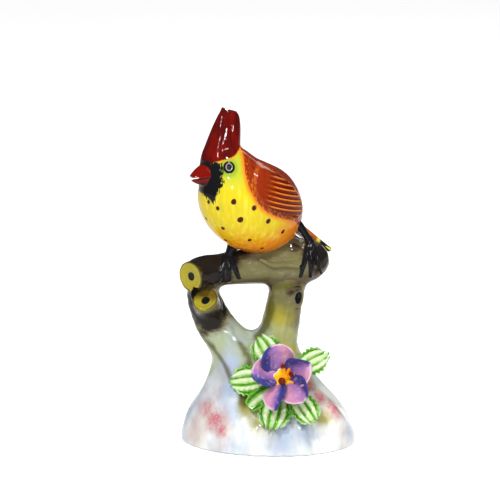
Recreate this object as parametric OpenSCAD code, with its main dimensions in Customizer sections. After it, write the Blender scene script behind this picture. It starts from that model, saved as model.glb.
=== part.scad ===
// Crested songbird of glazed bone china on a sawn branch, with a hand-made flower on the mound.
// Millimetres. +Z is up, +X is the bird's tail side, and the foot stands on Z = 0.

/* [Mound] */
// Width of the mound across its foot
base_w = 58.4; // [46:0.2:72]
// Depth of the mound from front to back
base_d = 43; // [36:0.5:54]
// Height of the mound up to the fork of the stems
mound_h = 36.5; // [30:0.5:45]
// Thickness of the cast wall
wall = 3; // [2:0.1:4.5]
// Width of the vent hole in the foot
vent_d = 8; // [5:0.5:12]
// How far the underside is recessed inside its foot rim
recess_h = 1; // [0.5:0.1:2]
// How deep the soft folds of the mound are, as a share of its radius
fold_depth = 0.035; // [0:0.005:0.08]

/* [Branches] */
// Height of the perch's axis at its middle
perch_z = 60.3; // [52:0.1:73]
// Radius of the perch at its middle
perch_r = 6.3; // [5:0.1:8]
// Distance from the middle out to the sawn end of the perch
perch_left = 25; // [20:0.1:30]
// Distance from the middle out to the rounded end of the perch
perch_right = 20; // [16:0.1:26]
// Radius of the left stem where it leaves the mound
left_stem_r = 6.5; // [5:0.1:8]
// Radius of the right stem where it leaves the mound
right_stem_r = 6.7; // [5:0.1:8]
// Radius of the sawn stub on the left stem
stub_r = 4.2; // [3:0.1:5]

/* [Bird] */
// Half length of the body from breast to rump
body_length_r = 20; // [17:0.1:24]
// Half width of the body
body_width_r = 14.6; // [12:0.1:17]
// Half height of the body
body_height_r = 15.4; // [13:0.1:18]
// Thickness of the wings over the body
wing_t = 1.4; // [1:0.1:2]
// Angle by which the bird is turned to its front
bird_turn = 40; // [20:1:60]
// Radius of the head
head_r = 8.2; // [6.5:0.1:10]
// Height of the crest above the top of the head
crest_h = 12; // [8:0.1:18]
// Length of the beak in front of the head
beak_l = 5.6; // [4:0.1:8]
// Length of the tail
tail_l = 20; // [14:0.5:24]
// Width of the tail at its end
tail_w = 10; // [7:0.5:14]
// Radius of a toe
toe_r = 1; // [0.8:0.05:1.4]
// Width of the pour hole under the body
pour_hole_d = 6; // [4:0.5:9]

/* [Flower] */
// Length of a petal
petal_l = 10.6; // [8:0.1:13]
// Width of a petal
petal_w = 11; // [8:0.1:12]
// Thickness of petals and leaves in the middle
petal_t = 1.2; // [0.9:0.1:1.8]
// Angle between a petal and the flower's face
petal_lift = 30; // [20:1:45]
// Length of a leaf
leaf_l = 13.5; // [10:0.1:17]
// Width of a leaf
leaf_w = 10; // [7:0.1:12]
// Radius of the pad that holds the flower
pad_r = 6.2; // [5:0.1:8]
// Number of stamens around the centre
stamens = 6; // [6:1:6]

/* [Hidden] */

bark = "#4a4030";
bone_white = "#eceae0";
leaf_green = "#79b04a";
petal_mauve = "#8d78b4";

// The mound: share of the height, then share of the foot's radius
mound_profile = [[0, 1], [0.05, 0.997], [0.13, 0.98], [0.24, 0.935], [0.35, 0.845],
    [0.49, 0.72], [0.65, 0.6], [0.8, 0.5], [0.91, 0.38], [0.98, 0.2], [1, 0.04]];
base_x = 0.6;
base_y = 2.5;
base_turn = -8;
mound_lean = [-5, -2.2];
mound_sides = 48;

// Shared places, worked out from the driving sizes
perch_y = 1;
perch_tilt = 0.085;
perch_table = [[-perch_left, -9.2], [-perch_left + 4, -4.6], [-12, -1], [0, 0], [12, 1.2],
    [perch_right, 2]];
body_pitch = 31;
body_drop = norm([body_length_r * sin(body_pitch), body_height_r * cos(body_pitch)]);
// where the bird sits on the perch, and how far its belly sinks into it
bird_seat = [-5.3, -1.5];
seat_sink = 1.9;
body_c = [bird_seat[0], bird_seat[1], perch_z + perch_r + body_drop - seat_sink];
head_c = body_c + turned([0.46 * body_length_r, -1.6, 0.8 * body_height_r], bird_turn);
head_turn = bird_turn - 7;
// the tail's root lies over the perch, inside the rump
tail_root = [5.5, 5.6, perch_z + perch_r + 8.7];
tail_droop = 37;
tail_yaw = 170;
flower_h = 0.7;
flower_c = [5.2, mound_axis(flower_h)[1] - mound_radius_d(flower_h) - 3, flower_h * mound_h];
flower_lean = 20;

// ---- small functions -------------------------------------------------------

function unit(v) = v / norm(v);
function place(p) = [p[0], p[1], p[2]];
function middle(ring) = [for (k = [0:2]) sum([for (p = ring) p[k]]) / len(ring)];
function sum(list, i = 0) = i >= len(list) ? 0 : list[i] + sum(list, i + 1);

// A vector of the bird's own frame (forward, left, up), turned into the figurine's frame
function turned(v, turn) = let (a = 180 + turn)
    [v[0] * cos(a) - v[1] * sin(a), v[0] * sin(a) + v[1] * cos(a), v[2]];

// A smooth curve through the rows of a table, any number of columns
function curve_row(a, b, c, d, t) = 0.5 * (2 * b + (c - a) * t
    + (2 * a - 5 * b + 4 * c - d) * t * t + (3 * b - a - 3 * c + d) * t * t * t);
function smooth(rows, steps) = let (last = len(rows) - 1) concat(
    [for (i = [0:last - 1], s = [0:steps - 1])
        curve_row(rows[max(i - 1, 0)], rows[i], rows[i + 1], rows[min(i + 2, last)], s / steps)],
    [rows[last]]);

// Rings across a path whose rows are x, y, z, radius towards `side`, radius towards `top`
function ring(centre, side, up, a, b, sides) = [for (j = [0:sides - 1])
    centre + a * cos(360 * j / sides) * side + b * sin(360 * j / sides) * up];
function heading(rows, i) = unit(place(rows[min(i + 1, len(rows) - 1)]) - place(rows[max(i - 1, 0)]));
function path_rings(rows, top, sides) = [for (i = [0:len(rows) - 1])
    let (t = heading(rows, i), up = unit(top - (top * t) * t), side = cross(up, t), r = rows[i])
    ring(place(r), side, up, r[3], len(r) > 4 ? r[4] : r[3], sides)];

// The mound's radius at a share of its height, across and in depth
function mound_share(h) = lookup(h, mound_profile);
function mound_radius_w(h) = base_w / 2 * mound_share(h);
function mound_radius_d(h) = base_d / 2 * mound_share(h);
function mound_axis(h) = [base_x, base_y] + mound_lean * h * h;
function mound_ring(h, inset) = [for (j = [0:mound_sides - 1])
    let (a = 360 * j / mound_sides,
         fold = 1 + fold_depth * sin(2 * a) * sin(5 * a),
         x = (mound_radius_w(h) - inset) * cos(a) * fold,
         y = (mound_radius_d(h) - inset) * sin(a) * fold)
    [mound_axis(h)[0] + x * cos(base_turn) - y * sin(base_turn),
     mound_axis(h)[1] + x * sin(base_turn) + y * cos(base_turn), h * mound_h]];

// The perch's axis at a distance x from its middle, and its radius there
function perch_at(x) = [x, perch_y + lookup(x, perch_table), perch_z + perch_tilt * x];
function perch_radius(x) = perch_r * (1 + 0.011 * x);

// ---- general solids --------------------------------------------------------

// A closed skin over rings of points, each end closed by a fan
module skin(rings) {
    n = len(rings[0]);
    m = len(rings);
    points = concat([for (r = rings, p = r) p], [middle(rings[0]), middle(rings[m - 1])]);
    sides = [for (i = [0:m - 2], j = [0:n - 1]) let (k = (j + 1) % n)
        each [[i * n + j, (i + 1) * n + j, (i + 1) * n + k], [i * n + j, (i + 1) * n + k, i * n + k]]];
    ends = [for (j = [0:n - 1]) let (k = (j + 1) % n)
        each [[m * n, j, k], [m * n + 1, (m - 1) * n + k, (m - 1) * n + j]]];
    polyhedron(points, concat(sides, ends), convexity = 8);
}

module tube(rows, top, sides, steps = 3) skin(path_rings(smooth(rows, steps), top, sides));

// The first child cut by the others, as one mesh, so that the pieces meet face to face
module fitted() resize([0, 0, 0]) difference() {
    children(0);
    children([1:$children - 1]);
}

// An ellipsoid with half lengths r, at c
module egg(c, r, sides = 36) translate(c) scale(r) sphere(1, $fn = sides);

// A petal or leaf: rows run along its length from its root.
// `lift` is its angle from the face, `cup` how far its edges rise, `curl` how far its tip bends back.
module blade(length, width, thick, lift, cup, curl, shape) {
    across = 5;
    rings = [for (s = shape)
        let (half = width / 2 * s[1],
             x = length * s[0],
             z = curl * length * s[0] * s[0],
             t = thick * (1 - 0.45 * s[0]))
        concat(
            [for (k = [0:across]) let (v = 1 - 2 * k / across)
                [x, half * v, z + cup * half * v * v + t / 2 * (0.4 + 0.6 * sqrt(1 - v * v))]],
            [for (k = [0:across]) let (v = -1 + 2 * k / across)
                [x, half * v, z + cup * half * v * v - t / 2 * (0.4 + 0.6 * sqrt(1 - v * v))]])];
    rotate([0, -lift, 0]) skin(rings);
}
petal_shape = [[0, 0.3], [0.12, 0.5], [0.28, 0.78], [0.45, 0.95], [0.62, 1],
    [0.78, 0.94], [0.9, 0.76], [1, 0.4]];
leaf_shape = [[0, 0.3], [0.12, 0.55], [0.28, 0.88], [0.42, 1], [0.58, 0.93],
    [0.74, 0.7], [0.88, 0.4], [1, 0.08]];

// ---- mound and branches ----------------------------------------------------

module mound_outer() skin([for (row = mound_profile) mound_ring(row[0], 0)]);

module mound_cavity() intersection() {
    skin([for (row = mound_profile) if (row[0] < 0.9) mound_ring(row[0], wall)]);
    translate([-base_w, -base_d, recess_h + wall]) cube([2 * base_w, 2 * base_d, mound_h]);
}

module foot_recess() translate([base_x, base_y, -recess_h]) rotate([0, 0, base_turn])
    linear_extrude(2 * recess_h) scale([base_w / 2 - wall - 1, base_d / 2 - wall - 1]) circle(1, $fn = 48);

module mound_shell() color(bone_white) fitted() {
    mound_outer();
    mound_cavity();
    foot_recess();
    translate([base_x, base_y, -1]) cylinder(d = vent_d, h = recess_h + wall + 2, $fn = 32);
}

perch_rows = [
    concat(perch_at(-perch_left), [perch_radius(-perch_left) * 1.14, perch_radius(-perch_left) * 1.06]),
    concat(perch_at(-perch_left + 4), [perch_radius(-perch_left), perch_radius(-perch_left)]),
    concat(perch_at(-12), [perch_radius(-12), perch_radius(-12)]),
    concat(perch_at(0), [perch_radius(0), perch_radius(0)]),
    concat(perch_at(11), [perch_radius(11), perch_radius(11)]),
    concat(perch_at(perch_right - 4), [perch_radius(10), perch_radius(10)]),
    concat(perch_at(perch_right - 1), [perch_r * 0.72, perch_r * 0.72]),
    concat(perch_at(perch_right), [perch_r * 0.3, perch_r * 0.3])];

module perch_raw() {
    tube(perch_rows, [0, 0, 1], 28);
    // swelling that carries the bird's flank
    egg(perch_at(6.5) + [0, 0, perch_r * 0.6], [6, 5.5, 6], 24);
}

module perch_branch() color(bark) resize([0, 0, 0]) union() perch_raw();

stem_foot_z = 0.66 * mound_h;
module left_stem_raw() tube([
    [-3.4, -2, stem_foot_z, left_stem_r],
    [-8.5, -1.4, stem_foot_z + 6.4, left_stem_r],
    [-14.4, -1, mound_h + 0.5, left_stem_r],
    [-18.2, -1, perch_z - 17.3, left_stem_r * 0.94],
    [-20.9, -1.4, perch_z - 9.5, left_stem_r * 0.83],
    concat(perch_at(-20.5), [left_stem_r * 0.74])], [0, -1, 0], 18);

module right_stem_raw() tube([
    [1, -1, stem_foot_z, right_stem_r * 1.08],
    [2.6, -1, stem_foot_z + 7, right_stem_r * 1.04],
    [4.3, -0.5, mound_h + 2.5, right_stem_r * 0.96],
    [6.1, 0, perch_z - 11.8, right_stem_r * 0.86],
    [7, 0.8, perch_z - 5.5, right_stem_r * 0.9],
    concat(perch_at(7.4), [right_stem_r * 0.9])], [0, -1, 0], 18);

module stub_raw() tube([
    [-17.2, -1.5, perch_z - 20, stub_r],
    [-18.8, -4.6, perch_z - 14, stub_r],
    [-20.2, -8, perch_z - 9.8, stub_r]], [0, 0, 1], 20, 2);

module left_stem() color(bark) fitted() {
    left_stem_raw();
    mound_outer();
    perch_raw();
    right_stem_raw();
}

module right_stem() color(bark) fitted() {
    right_stem_raw();
    mound_outer();
    perch_raw();
}

module sawn_stub() color("#b9a32c") fitted() {
    stub_raw();
    left_stem_raw();
    perch_raw();
    mound_outer();
}

// ---- bird ------------------------------------------------------------------

module in_bird() translate(body_c) rotate([0, 0, 180 + bird_turn]) children();
module in_head() translate(head_c) rotate([0, 0, 180 + head_turn]) children();

module in_body() in_bird() rotate([0, -body_pitch, 0]) children();
module trunk(grow, sides = 40) in_body()
    egg([0, 0, 0], [body_length_r + grow, body_width_r + grow, body_height_r + grow], sides);

module body_raw() {
    trunk(0);
    // neck
    in_bird() egg([0.28 * body_length_r, -1.2, 0.56 * body_height_r],
        [head_r * 1.18, head_r * 1.15, head_r * 1.17], 32);
    in_head() egg([0, 0, 0], [head_r * 1.05, head_r * 0.97, head_r], 32);
}

module bird_body() color("#e3c92b") fitted() {
    body_raw();
    perch_raw();
    trunk(-wall, 24);
    translate([body_c[0], body_c[1], perch_z]) cylinder(d = pour_hole_d, h = perch_r + wall + 3, $fn = 24);
}

crest_rows = [
    [1.2, 0, -head_r * 0.2, 7.4, 5.6],
    [1.2, 0, head_r * 0.45, 7.7, 5.3],
    [0.5, 0, head_r, 6.8, 4.7],
    [-0.4, 0, head_r + 0.45 * crest_h, 5.4, 3.6],
    [-1.4, 0, head_r + 0.78 * crest_h, 3.8, 2.3],
    [-1.6, 0, head_r + 0.92 * crest_h, 2.8, 1.5],
    [-1.5, 0, head_r + crest_h, 1.7, 0.6]];
module crest_raw() in_head() difference() {
    skin(path_rings(smooth([for (r = crest_rows) [r[0], r[1], r[2], r[4], r[3]]], 2), [1, 0, 0.01], 24));
    // notch that parts the crest in two
    translate([-2, -5, head_r + crest_h - 1.6]) rotate([0, 12, 0]) cube([1.1, 10, 4]);
}

module crest() color("#8a1713") fitted() {
    crest_raw();
    body_raw();
}

// Half of a cone with an elliptical root: `up` is 1 for the upper half and -1 for the lower
module beak_half(up, root_r, length) {
    arc = 10;
    rows = [[-3, 1], [0, 1], [0.4 * length, 0.78], [0.75 * length, 0.46], [length, 0.12]];
    skin([for (r = rows) [for (j = [0:arc]) let (a = 180 * j / arc)
        [r[0], up * root_r * r[1] * cos(a), up * root_r * r[1] * sin(a)]]]);
}
module in_beak() in_head() translate([head_r * 0.86, 0, -1.3]) rotate([0, 3, 0]) children();

module upper_beak_raw() in_beak() beak_half(1, 3.7, beak_l + 0.6);
module lower_beak_raw() in_beak() beak_half(-1, 3.3, beak_l - 0.3);

module upper_beak() color("#9c2018") fitted() {
    upper_beak_raw();
    body_raw();
    crest_raw();
}

module lower_beak() color("#9c2018") fitted() {
    lower_beak_raw();
    body_raw();
    crest_raw();
}

// Outline of a folded wing on the body's side, as shares of its half length and half height
wing_outline = [[0.58, 0.56], [0.5, 0.7], [0.3, 0.76], [0.05, 0.73], [-0.25, 0.64], [-0.48, 0.5],
    [-0.6, 0.3], [-0.55, 0.1], [-0.33, 0], [-0.15, -0.07],
    [0.15, -0.14], [0.4, -0.08], [0.57, 0.08], [0.62, 0.33]];

// side is 1 for the bird's left wing and -1 for its right wing
module wing_raw(side) intersection() {
    trunk(wing_t);
    in_body() rotate([90, 0, 0]) linear_extrude(height = 2 * body_width_r, center = true)
        polygon([for (p = wing_outline) [p[0] * body_length_r, p[1] * body_height_r]]);
    in_body() translate([-body_length_r, side > 0 ? 1 : -2 * body_width_r - 1, -body_length_r])
        cube([2 * body_length_r, 2 * body_width_r, 2 * body_length_r]);
}

module wing(side) fitted() {
    wing_raw(side);
    body_raw();
}
module left_wing() color("#8f3416") wing(1);
module right_wing() color("#8f3416") wing(-1);

module tail_raw() translate(tail_root) rotate([0, 0, 180 + bird_turn]) rotate([0, tail_droop, tail_yaw])
    skin([for (u = [0, 0.25, 0.5, 0.75, 0.94, 1])
        let (half = (3.4 + (tail_w / 2 - 3.4) * u) * (u > 0.95 ? 0.8 : 1), t = 2.2 - 1.1 * u, n = 12)
        [for (j = [0:n - 1]) [tail_l * u, half * cos(360 * j / n), t * sin(360 * j / n)]]]);

module tail() color("#b4561b") fitted() {
    tail_raw();
    body_raw();
    perch_raw();
    wing_raw(1);
    wing_raw(-1);
}

// A point on the perch: x along it, angle 0 on top and 90 in front
function on_perch(x, angle) = perch_at(x) + (perch_radius(x) + 0.25 * toe_r) * [0, -sin(angle), cos(angle)];
module toe(x, spread, from, to) {
    steps = 6;
    tube([for (i = [0:steps]) let (f = i / steps)
        concat(on_perch(x + spread * f, from + (to - from) * f), [toe_r * (1.15 - 0.35 * f)])],
        [1, 0, 0], 8, 1);
}
module foot_raw(x, hip) {
    toe(x, -3.2, 20, 118);
    toe(x, 0.2, 20, 128);
    toe(x, 3.6, 20, 118);
    toe(x, 0.4, 20, -70);
    tube([concat(hip, [1.8]), concat((hip + on_perch(x, 20)) / 2, [1.5]), concat(on_perch(x, 20), [1.5])],
        [1, 0, 0], 10, 1);
}
left_foot_x = -12.6;
right_foot_x = 14.4;
module left_foot_raw() foot_raw(left_foot_x, [-9.5, -4, body_c[2] - 0.72 * body_drop]);
module right_foot_raw() foot_raw(right_foot_x, [6, 0, body_c[2] - 0.62 * body_drop]);

module left_foot() color("#1d1a18") fitted() {
    left_foot_raw();
    perch_raw();
    body_raw();
}
module right_foot() color("#1d1a18") fitted() {
    right_foot_raw();
    perch_raw();
    body_raw();
    tail_raw();
}

// ---- flower and leaves -----------------------------------------------------

// The flower's own frame: X to the right of its face, Y up its face, Z out of it
module in_flower() translate(flower_c) rotate([90 - flower_lean, 0, 0]) children();

module pad_raw() in_flower() translate([0, 0, -2.6]) egg([0, 0, 0], [pad_r, pad_r, 4.2], 24);
module flower_pad() color(leaf_green) fitted() {
    pad_raw();
    mound_outer();
    right_stem_raw();
    left_stem_raw();
}

module centre_raw() in_flower() egg([0, 0, 1.6], [2.6, 2.6, 2.1], 20);
module flower_centre() color("#e0a81e") fitted() {
    centre_raw();
    pad_raw();
}

petal_angles = [37, 108, 166, 236, 310];
module petal_raw(i) in_flower() rotate([0, 0, petal_angles[i]]) translate([1.5, 0, 1 + 0.12 * i])
    rotate([16, 0, 0])
    blade(petal_l, petal_w * (i == 2 ? 0.85 : 1), petal_t, petal_lift, 0.22, 0.1, petal_shape);

module petal(i) color(petal_mauve) fitted() {
    petal_raw(i);
    pad_raw();
    centre_raw();
    for (j = [0:4]) if (j < i) petal_raw(j);
}

module stamen_raw(i) in_flower() rotate([0, 0, 20 + 360 * i / stamens]) translate([1.1, 0, 2.6])
    rotate([0, 24 + 6 * (i % 2), 0]) {
        cylinder(r1 = 0.75, r2 = 0.5, h = 3.2, $fn = 12);
        egg([0, 0, 3.3], [0.75, 0.75, 1], 12);
    }
module stamen(i) color("#e0a81e") fitted() {
    stamen_raw(i);
    centre_raw();
}

// Each leaf: angle on the flower's face, distance of its root, lift, share of the length
leaf_places = [[118, 4.6, 2, 0.8], [33, 4.8, 4, 0.85], [178, 4.4, -4, 0.9],
    [222, 4.2, 4, 0.75], [256, 4.2, 10, 0.95], [305, 4.4, 8, 1]];
module leaf_raw(i) {
    row = leaf_places[i];
    in_flower() rotate([0, 0, row[0]]) translate([row[1], 0, -1.6])
        blade(leaf_l * row[3], leaf_w * (i == 3 ? 0.55 : 0.9), petal_t * 1.3, row[2], 0.2, 0.02, leaf_shape);
}
module leaf(i) color(leaf_green) fitted() {
    leaf_raw(i);
    mound_outer();
    pad_raw();
    left_stem_raw();
    right_stem_raw();
    for (j = [0:4]) petal_raw(j);
    for (j = [0:5]) if (j < i) leaf_raw(j);
}

// ---- the figurine ----------------------------------------------------------

mound_shell();
left_stem();
right_stem();
sawn_stub();
perch_branch();
bird_body();
crest();
upper_beak();
lower_beak();
left_wing();
right_wing();
tail();
left_foot();
right_foot();
flower_pad();
flower_centre();
for (i = [0:stamens - 1]) stamen(i);
for (i = [0:4]) petal(i);
for (i = [0:5]) leaf(i);
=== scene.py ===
"""Crested songbird of glazed bone china on a sawn branch: the looks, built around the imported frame.

The cast pieces (mound, branches, bird) are drawn as distance fields in millimetres and meshed
together, so the glaze runs over every joint, and are then parted into one mesh for each piece.
Petals, leaves and stamens are rolled and cut one by one, as a flower maker does.
"""

import math

import bpy
import numpy as np
import openvdb
from mathutils import Matrix, Vector


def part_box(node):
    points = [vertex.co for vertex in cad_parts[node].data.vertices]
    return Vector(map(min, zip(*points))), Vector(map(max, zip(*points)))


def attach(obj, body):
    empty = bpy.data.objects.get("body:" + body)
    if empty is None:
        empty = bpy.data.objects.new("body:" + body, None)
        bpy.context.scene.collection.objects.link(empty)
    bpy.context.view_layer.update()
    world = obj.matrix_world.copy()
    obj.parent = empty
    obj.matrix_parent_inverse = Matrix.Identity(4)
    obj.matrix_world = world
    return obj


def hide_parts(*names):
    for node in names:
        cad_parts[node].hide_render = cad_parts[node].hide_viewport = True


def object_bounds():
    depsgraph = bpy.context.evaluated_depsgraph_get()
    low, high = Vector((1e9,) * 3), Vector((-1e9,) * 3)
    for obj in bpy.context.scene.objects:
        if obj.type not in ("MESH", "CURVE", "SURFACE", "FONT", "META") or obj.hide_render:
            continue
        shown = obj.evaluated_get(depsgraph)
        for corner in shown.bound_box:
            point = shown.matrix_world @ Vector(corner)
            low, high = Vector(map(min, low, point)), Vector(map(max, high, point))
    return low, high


bl_info = {
    "name": "Porcelain Songbird",
    "version": (1, 0, 0),
    "blender": (4, 5, 0),
    "location": "View3D > Sidebar > Songbird",
    "description": "Builds a hand-painted china songbird on a branch with a clay flower",
    "category": "Object",
}

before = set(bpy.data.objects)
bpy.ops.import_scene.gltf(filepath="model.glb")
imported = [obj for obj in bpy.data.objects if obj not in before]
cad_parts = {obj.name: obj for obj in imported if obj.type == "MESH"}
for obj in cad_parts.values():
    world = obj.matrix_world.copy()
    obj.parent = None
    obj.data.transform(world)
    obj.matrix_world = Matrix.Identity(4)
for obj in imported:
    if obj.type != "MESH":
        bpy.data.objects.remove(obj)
CAD_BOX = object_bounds()
MM = 0.001
FAR = 50.0
PITH_RADIUS = 1.45
COAT_ROUGHNESS = 0.035
COAT_IOR = 1.21
PAPER_GLOW = 0.85
FLOOR_SIDE = 4.0  # metres, from the middle to the edge
FRAME_SHIFT = (-5.45, 8.1)  # mm, sideways and up, from the middle of the figurine


# ---- places, worked out from the frame -----------------------------------------------------------

def corners(node):
    """Lowest and highest corner of a CAD node, in millimetres."""
    low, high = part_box(node)
    return np.array(low) / MM, np.array(high) / MM


def middle(node):
    """Centre of a CAD node's box, in millimetres."""
    low, high = corners(node)
    return (low + high) / 2


def unit(v):
    """A vector of length one."""
    v = np.asarray(v, float)
    return v / np.linalg.norm(v)


class Axes:
    """The own frame of a piece: origin, and the directions forward, left and up."""

    def __init__(self, origin, forward, up=(0, 0, 1)):
        self.origin = np.asarray(origin, float)
        forward = unit(forward)
        left = unit(np.cross(up, forward))
        self.rows = np.array([forward, left, np.cross(forward, left)])

    def local(self, points):
        """World points in this frame."""
        return (points - self.origin) @ self.rows.T

    def world(self, points):
        """Points of this frame in the world."""
        return self.origin + np.asarray(points, float) @ self.rows


def heading(degrees, pitch=0.0):
    """The direction that the bird faces when it is turned by `degrees`, nose up by `pitch`."""
    a, b = math.radians(180 + degrees), math.radians(pitch)
    return np.array([math.cos(a) * math.cos(b), math.sin(a) * math.cos(b), math.sin(b)])


BIRD_TURN, HEAD_TURN, BODY_PITCH = 40, 33, 31
BODY_RADII = (20, 14.6, 15.4)
BODY_CENTRE = middle("bird_body") + (0, 0, -2.06)
BIRD = Axes(BODY_CENTRE, heading(BIRD_TURN))
BODY = Axes(BODY_CENTRE, heading(BIRD_TURN, BODY_PITCH))
HEAD = Axes(BIRD.world((9.2, -1.6, 12.32)), heading(HEAD_TURN))
BEAK = Axes(HEAD.world((7.2, 0, -1.4)), heading(HEAD_TURN, -9))
TAIL = Axes(BIRD.world((-12.8, 1.5, -6.16)),
            BIRD.rows.T @ (-0.787, 0.139, -0.602), BIRD.rows.T @ (-0.593, 0.105, 0.799))

MOUND_LOW, MOUND_HIGH = corners("mound_shell")
MOUND_H = MOUND_HIGH[2]
MOUND_MID = (MOUND_LOW + MOUND_HIGH)[:2] / 2 + (-0.15, 0.1)
MOUND_HALF = (MOUND_HIGH - MOUND_LOW)[:2] / 2 + (0.13, -0.19)
MOUND_LEAN = np.array([-5, -2.2])
MOUND_TURN = math.radians(-8)
PERCH_LOW, PERCH_HIGH = corners("perch_branch")
PERCH = np.array([0, PERCH_HIGH[1] - 8.7, PERCH_LOW[2] + 7.0])
FLOWER = Axes(middle("flower_centre") + (0, 1.95, -0.55), (1, 0, 0), (0, -0.94, 0.342))


# ---- distance fields -----------------------------------------------------------------------------

def length(v):
    """Length of each row."""
    return np.sqrt(np.einsum("ij,ij->i", v, v))


def ease(x, low, high):
    """0 below low, 1 above high and smooth between them."""
    t = np.clip((x - low) / (high - low), 0, 1)
    return t * t * (3 - 2 * t)


def smooth_min(a, b, k):
    """Union of two fields with a fillet of about k."""
    h = np.clip(0.5 + 0.5 * (b - a) / k, 0, 1)
    return b + (a - b) * h - k * h * (1 - h)


def smooth_max(a, b, k):
    """Intersection of two fields with an edge rounded by about k."""
    return -smooth_min(-a, -b, k)


def egg(points, centre, radii):
    """Field of an ellipsoid."""
    q = (points - centre) / radii
    near = length(q)
    return near * (near - 1) / np.maximum(length(q / radii), 1e-6)


def curve(rows, steps):
    """A smooth curve through the rows of a table, any number of columns."""
    rows = np.asarray(rows, float)
    padded = np.vstack([rows[:1], rows, rows[-1:]])
    out = []
    for a, b, c, d in zip(padded, padded[1:], padded[2:], padded[3:]):
        for s in range(steps):
            t = s / steps
            out.append(0.5 * (2 * b + (c - a) * t + (2 * a - 5 * b + 4 * c - d) * t * t
                              + (3 * b - a - 3 * c + d) * t ** 3))
    return np.array(out + [rows[-1]])


def limb(points, rows):
    """Field of a round limb along rows of x, y, z and radius."""
    best = np.full(len(points), FAR)
    for a, b in zip(rows, rows[1:]):
        along = b[:3] - a[:3]
        t = np.clip((points - a[:3]) @ along / (along @ along), 0, 1)
        best = np.minimum(best, length(points - a[:3] - t[:, None] * along) - a[3] - t * (b[3] - a[3]))
    return best


def lofted(points, rows, turn=0.0, fold=None):
    """Field of stacked ellipses. Rows are z, centre x, centre y, half width x, half width y."""
    rows = np.asarray(rows, float)
    z = points[:, 2]
    column = [np.interp(z, rows[:, 0], rows[:, k]) for k in range(1, 5)]
    x, y = points[:, 0] - column[0], points[:, 1] - column[1]
    x, y = x * math.cos(turn) + y * math.sin(turn), y * math.cos(turn) - x * math.sin(turn)
    wide, deep = column[2], column[3]
    if fold is not None:
        factor = fold(np.arctan2(y / deep, x / wide), z)
        wide, deep = wide * factor, deep * factor
    share = np.hypot(x / wide, y / deep)
    reach = np.where(share > 1e-3, np.hypot(x, y) / np.maximum(share, 1e-3), np.minimum(wide, deep))
    mean_reach = (rows[:, 3] + rows[:, 4]) / 2
    slope = np.clip(np.interp(z, rows[:, 0], np.gradient(mean_reach, rows[:, 0])), -1.1, 1.1)
    side = (share - 1) * reach / np.sqrt(1 + slope ** 2)
    return smooth_max(side, np.maximum(rows[0, 0] - z, z - rows[-1, 0]), 0.5)


def only_near(points, low, high, field, margin=6.0):
    """A field worked out only near its own box; further off, the distance to the box stands for it."""
    gap = length(np.maximum(np.maximum(low - points, points - high), 0))
    near = gap < margin
    out = gap + 1.0
    if near.any():
        out[near] = field(points[near])
    return out


def polygon_distance(x, y, outline):
    """Signed distance to a closed outline, negative inside."""
    best = np.full(len(x), FAR ** 2)
    inside = np.zeros(len(x), bool)
    for (ax, ay), (bx, by) in zip(outline, np.roll(outline, -1, axis=0)):
        ex, ey = bx - ax, by - ay
        t = np.clip(((x - ax) * ex + (y - ay) * ey) / (ex * ex + ey * ey), 0, 1)
        best = np.minimum(best, (x - ax - t * ex) ** 2 + (y - ay - t * ey) ** 2)
        crosses = (ay > y) != (by > y)
        rise = ey if abs(ey) > 1e-9 else 1e-9
        inside ^= crosses & (x < ax + (y - ay) * ex / rise)
    return np.where(inside, -1, 1) * np.sqrt(best)


# ---- mound and branches --------------------------------------------------------------------------

MOUND_PROFILE = [[0, 1], [0.05, 0.997], [0.13, 0.98], [0.24, 0.935], [0.35, 0.845], [0.49, 0.72],
                 [0.65, 0.6], [0.8, 0.5], [0.91, 0.38], [0.98, 0.2], [1, 0.04]]


def bump(angle, at, width):
    """A smooth swelling around one direction of the mound, angles in degrees."""
    gap = (np.degrees(angle) - at + 180) % 360 - 180
    return np.exp(-(gap / width) ** 2)


def hump(x, at, width):
    """A smooth hump of height 1 at one value."""
    return np.exp(-((x - at) / width) ** 2)


def mound_folds(angle, z):
    """How far ridges, roots and flutes swell the mound, as a factor of its radius."""
    h = z / MOUND_H
    low = 1 - ease(h, 0.1, 0.5)
    ridge = 0.07 * bump(angle, -22 - 14 * h, 13) * ease(h, 0.03, 0.3)
    valley = -0.055 * bump(angle, -50 + 6 * h, 11) * ease(h, 0.0, 0.15) * (1 - ease(h, 0.4, 0.7))
    root = 0.1 * bump(angle, -112, 15) * ease(h, 0.3, 0.6)
    back = 0.05 * bump(angle, 75, 20) * ease(h, 0.1, 0.4) - 0.04 * bump(angle, 125, 16)
    flutes = 0.012 * low * (1 - ease(np.abs(np.degrees(angle) + 80), 22, 45)) * np.sin(angle * 30)
    lumps = 0.016 * np.sin(3 * angle + 9 * h) * np.sin(5 * angle - 7 * h)
    lumps += 0.007 * np.sin(11 * angle + 14 * h)
    return 1 + ridge + valley + root + back + flutes + lumps * ease(h, 0, 0.1)


def mound_rows():
    """The mound's stacked ellipses."""
    rows = []
    for h, share in curve(MOUND_PROFILE, 5):
        centre = MOUND_MID + MOUND_LEAN * h * h
        rows.append([h * MOUND_H, *centre, MOUND_HALF[0] * share, MOUND_HALF[1] * share])
    return np.array(rows)


def perch_at(x):
    """A point on the perch's axis."""
    y = np.interp(x, [-25, -21, -12, 0, 12, 20], [-9.2, -4.6, -1, 0, 1.2, 2])
    return PERCH + np.array([x, y, 0.085 * x])


def perch_radius(x):
    """Radius of the perch at x."""
    return 6.3 * (1 + 0.011 * x)


def on_perch(x, angle, height=0.0):
    """A point on the perch's skin. Angle 0 is on top and 90 degrees is in front."""
    a = math.radians(angle)
    return perch_at(x) + (perch_radius(x) + height) * np.array([0, -math.sin(a), math.cos(a)])


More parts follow.
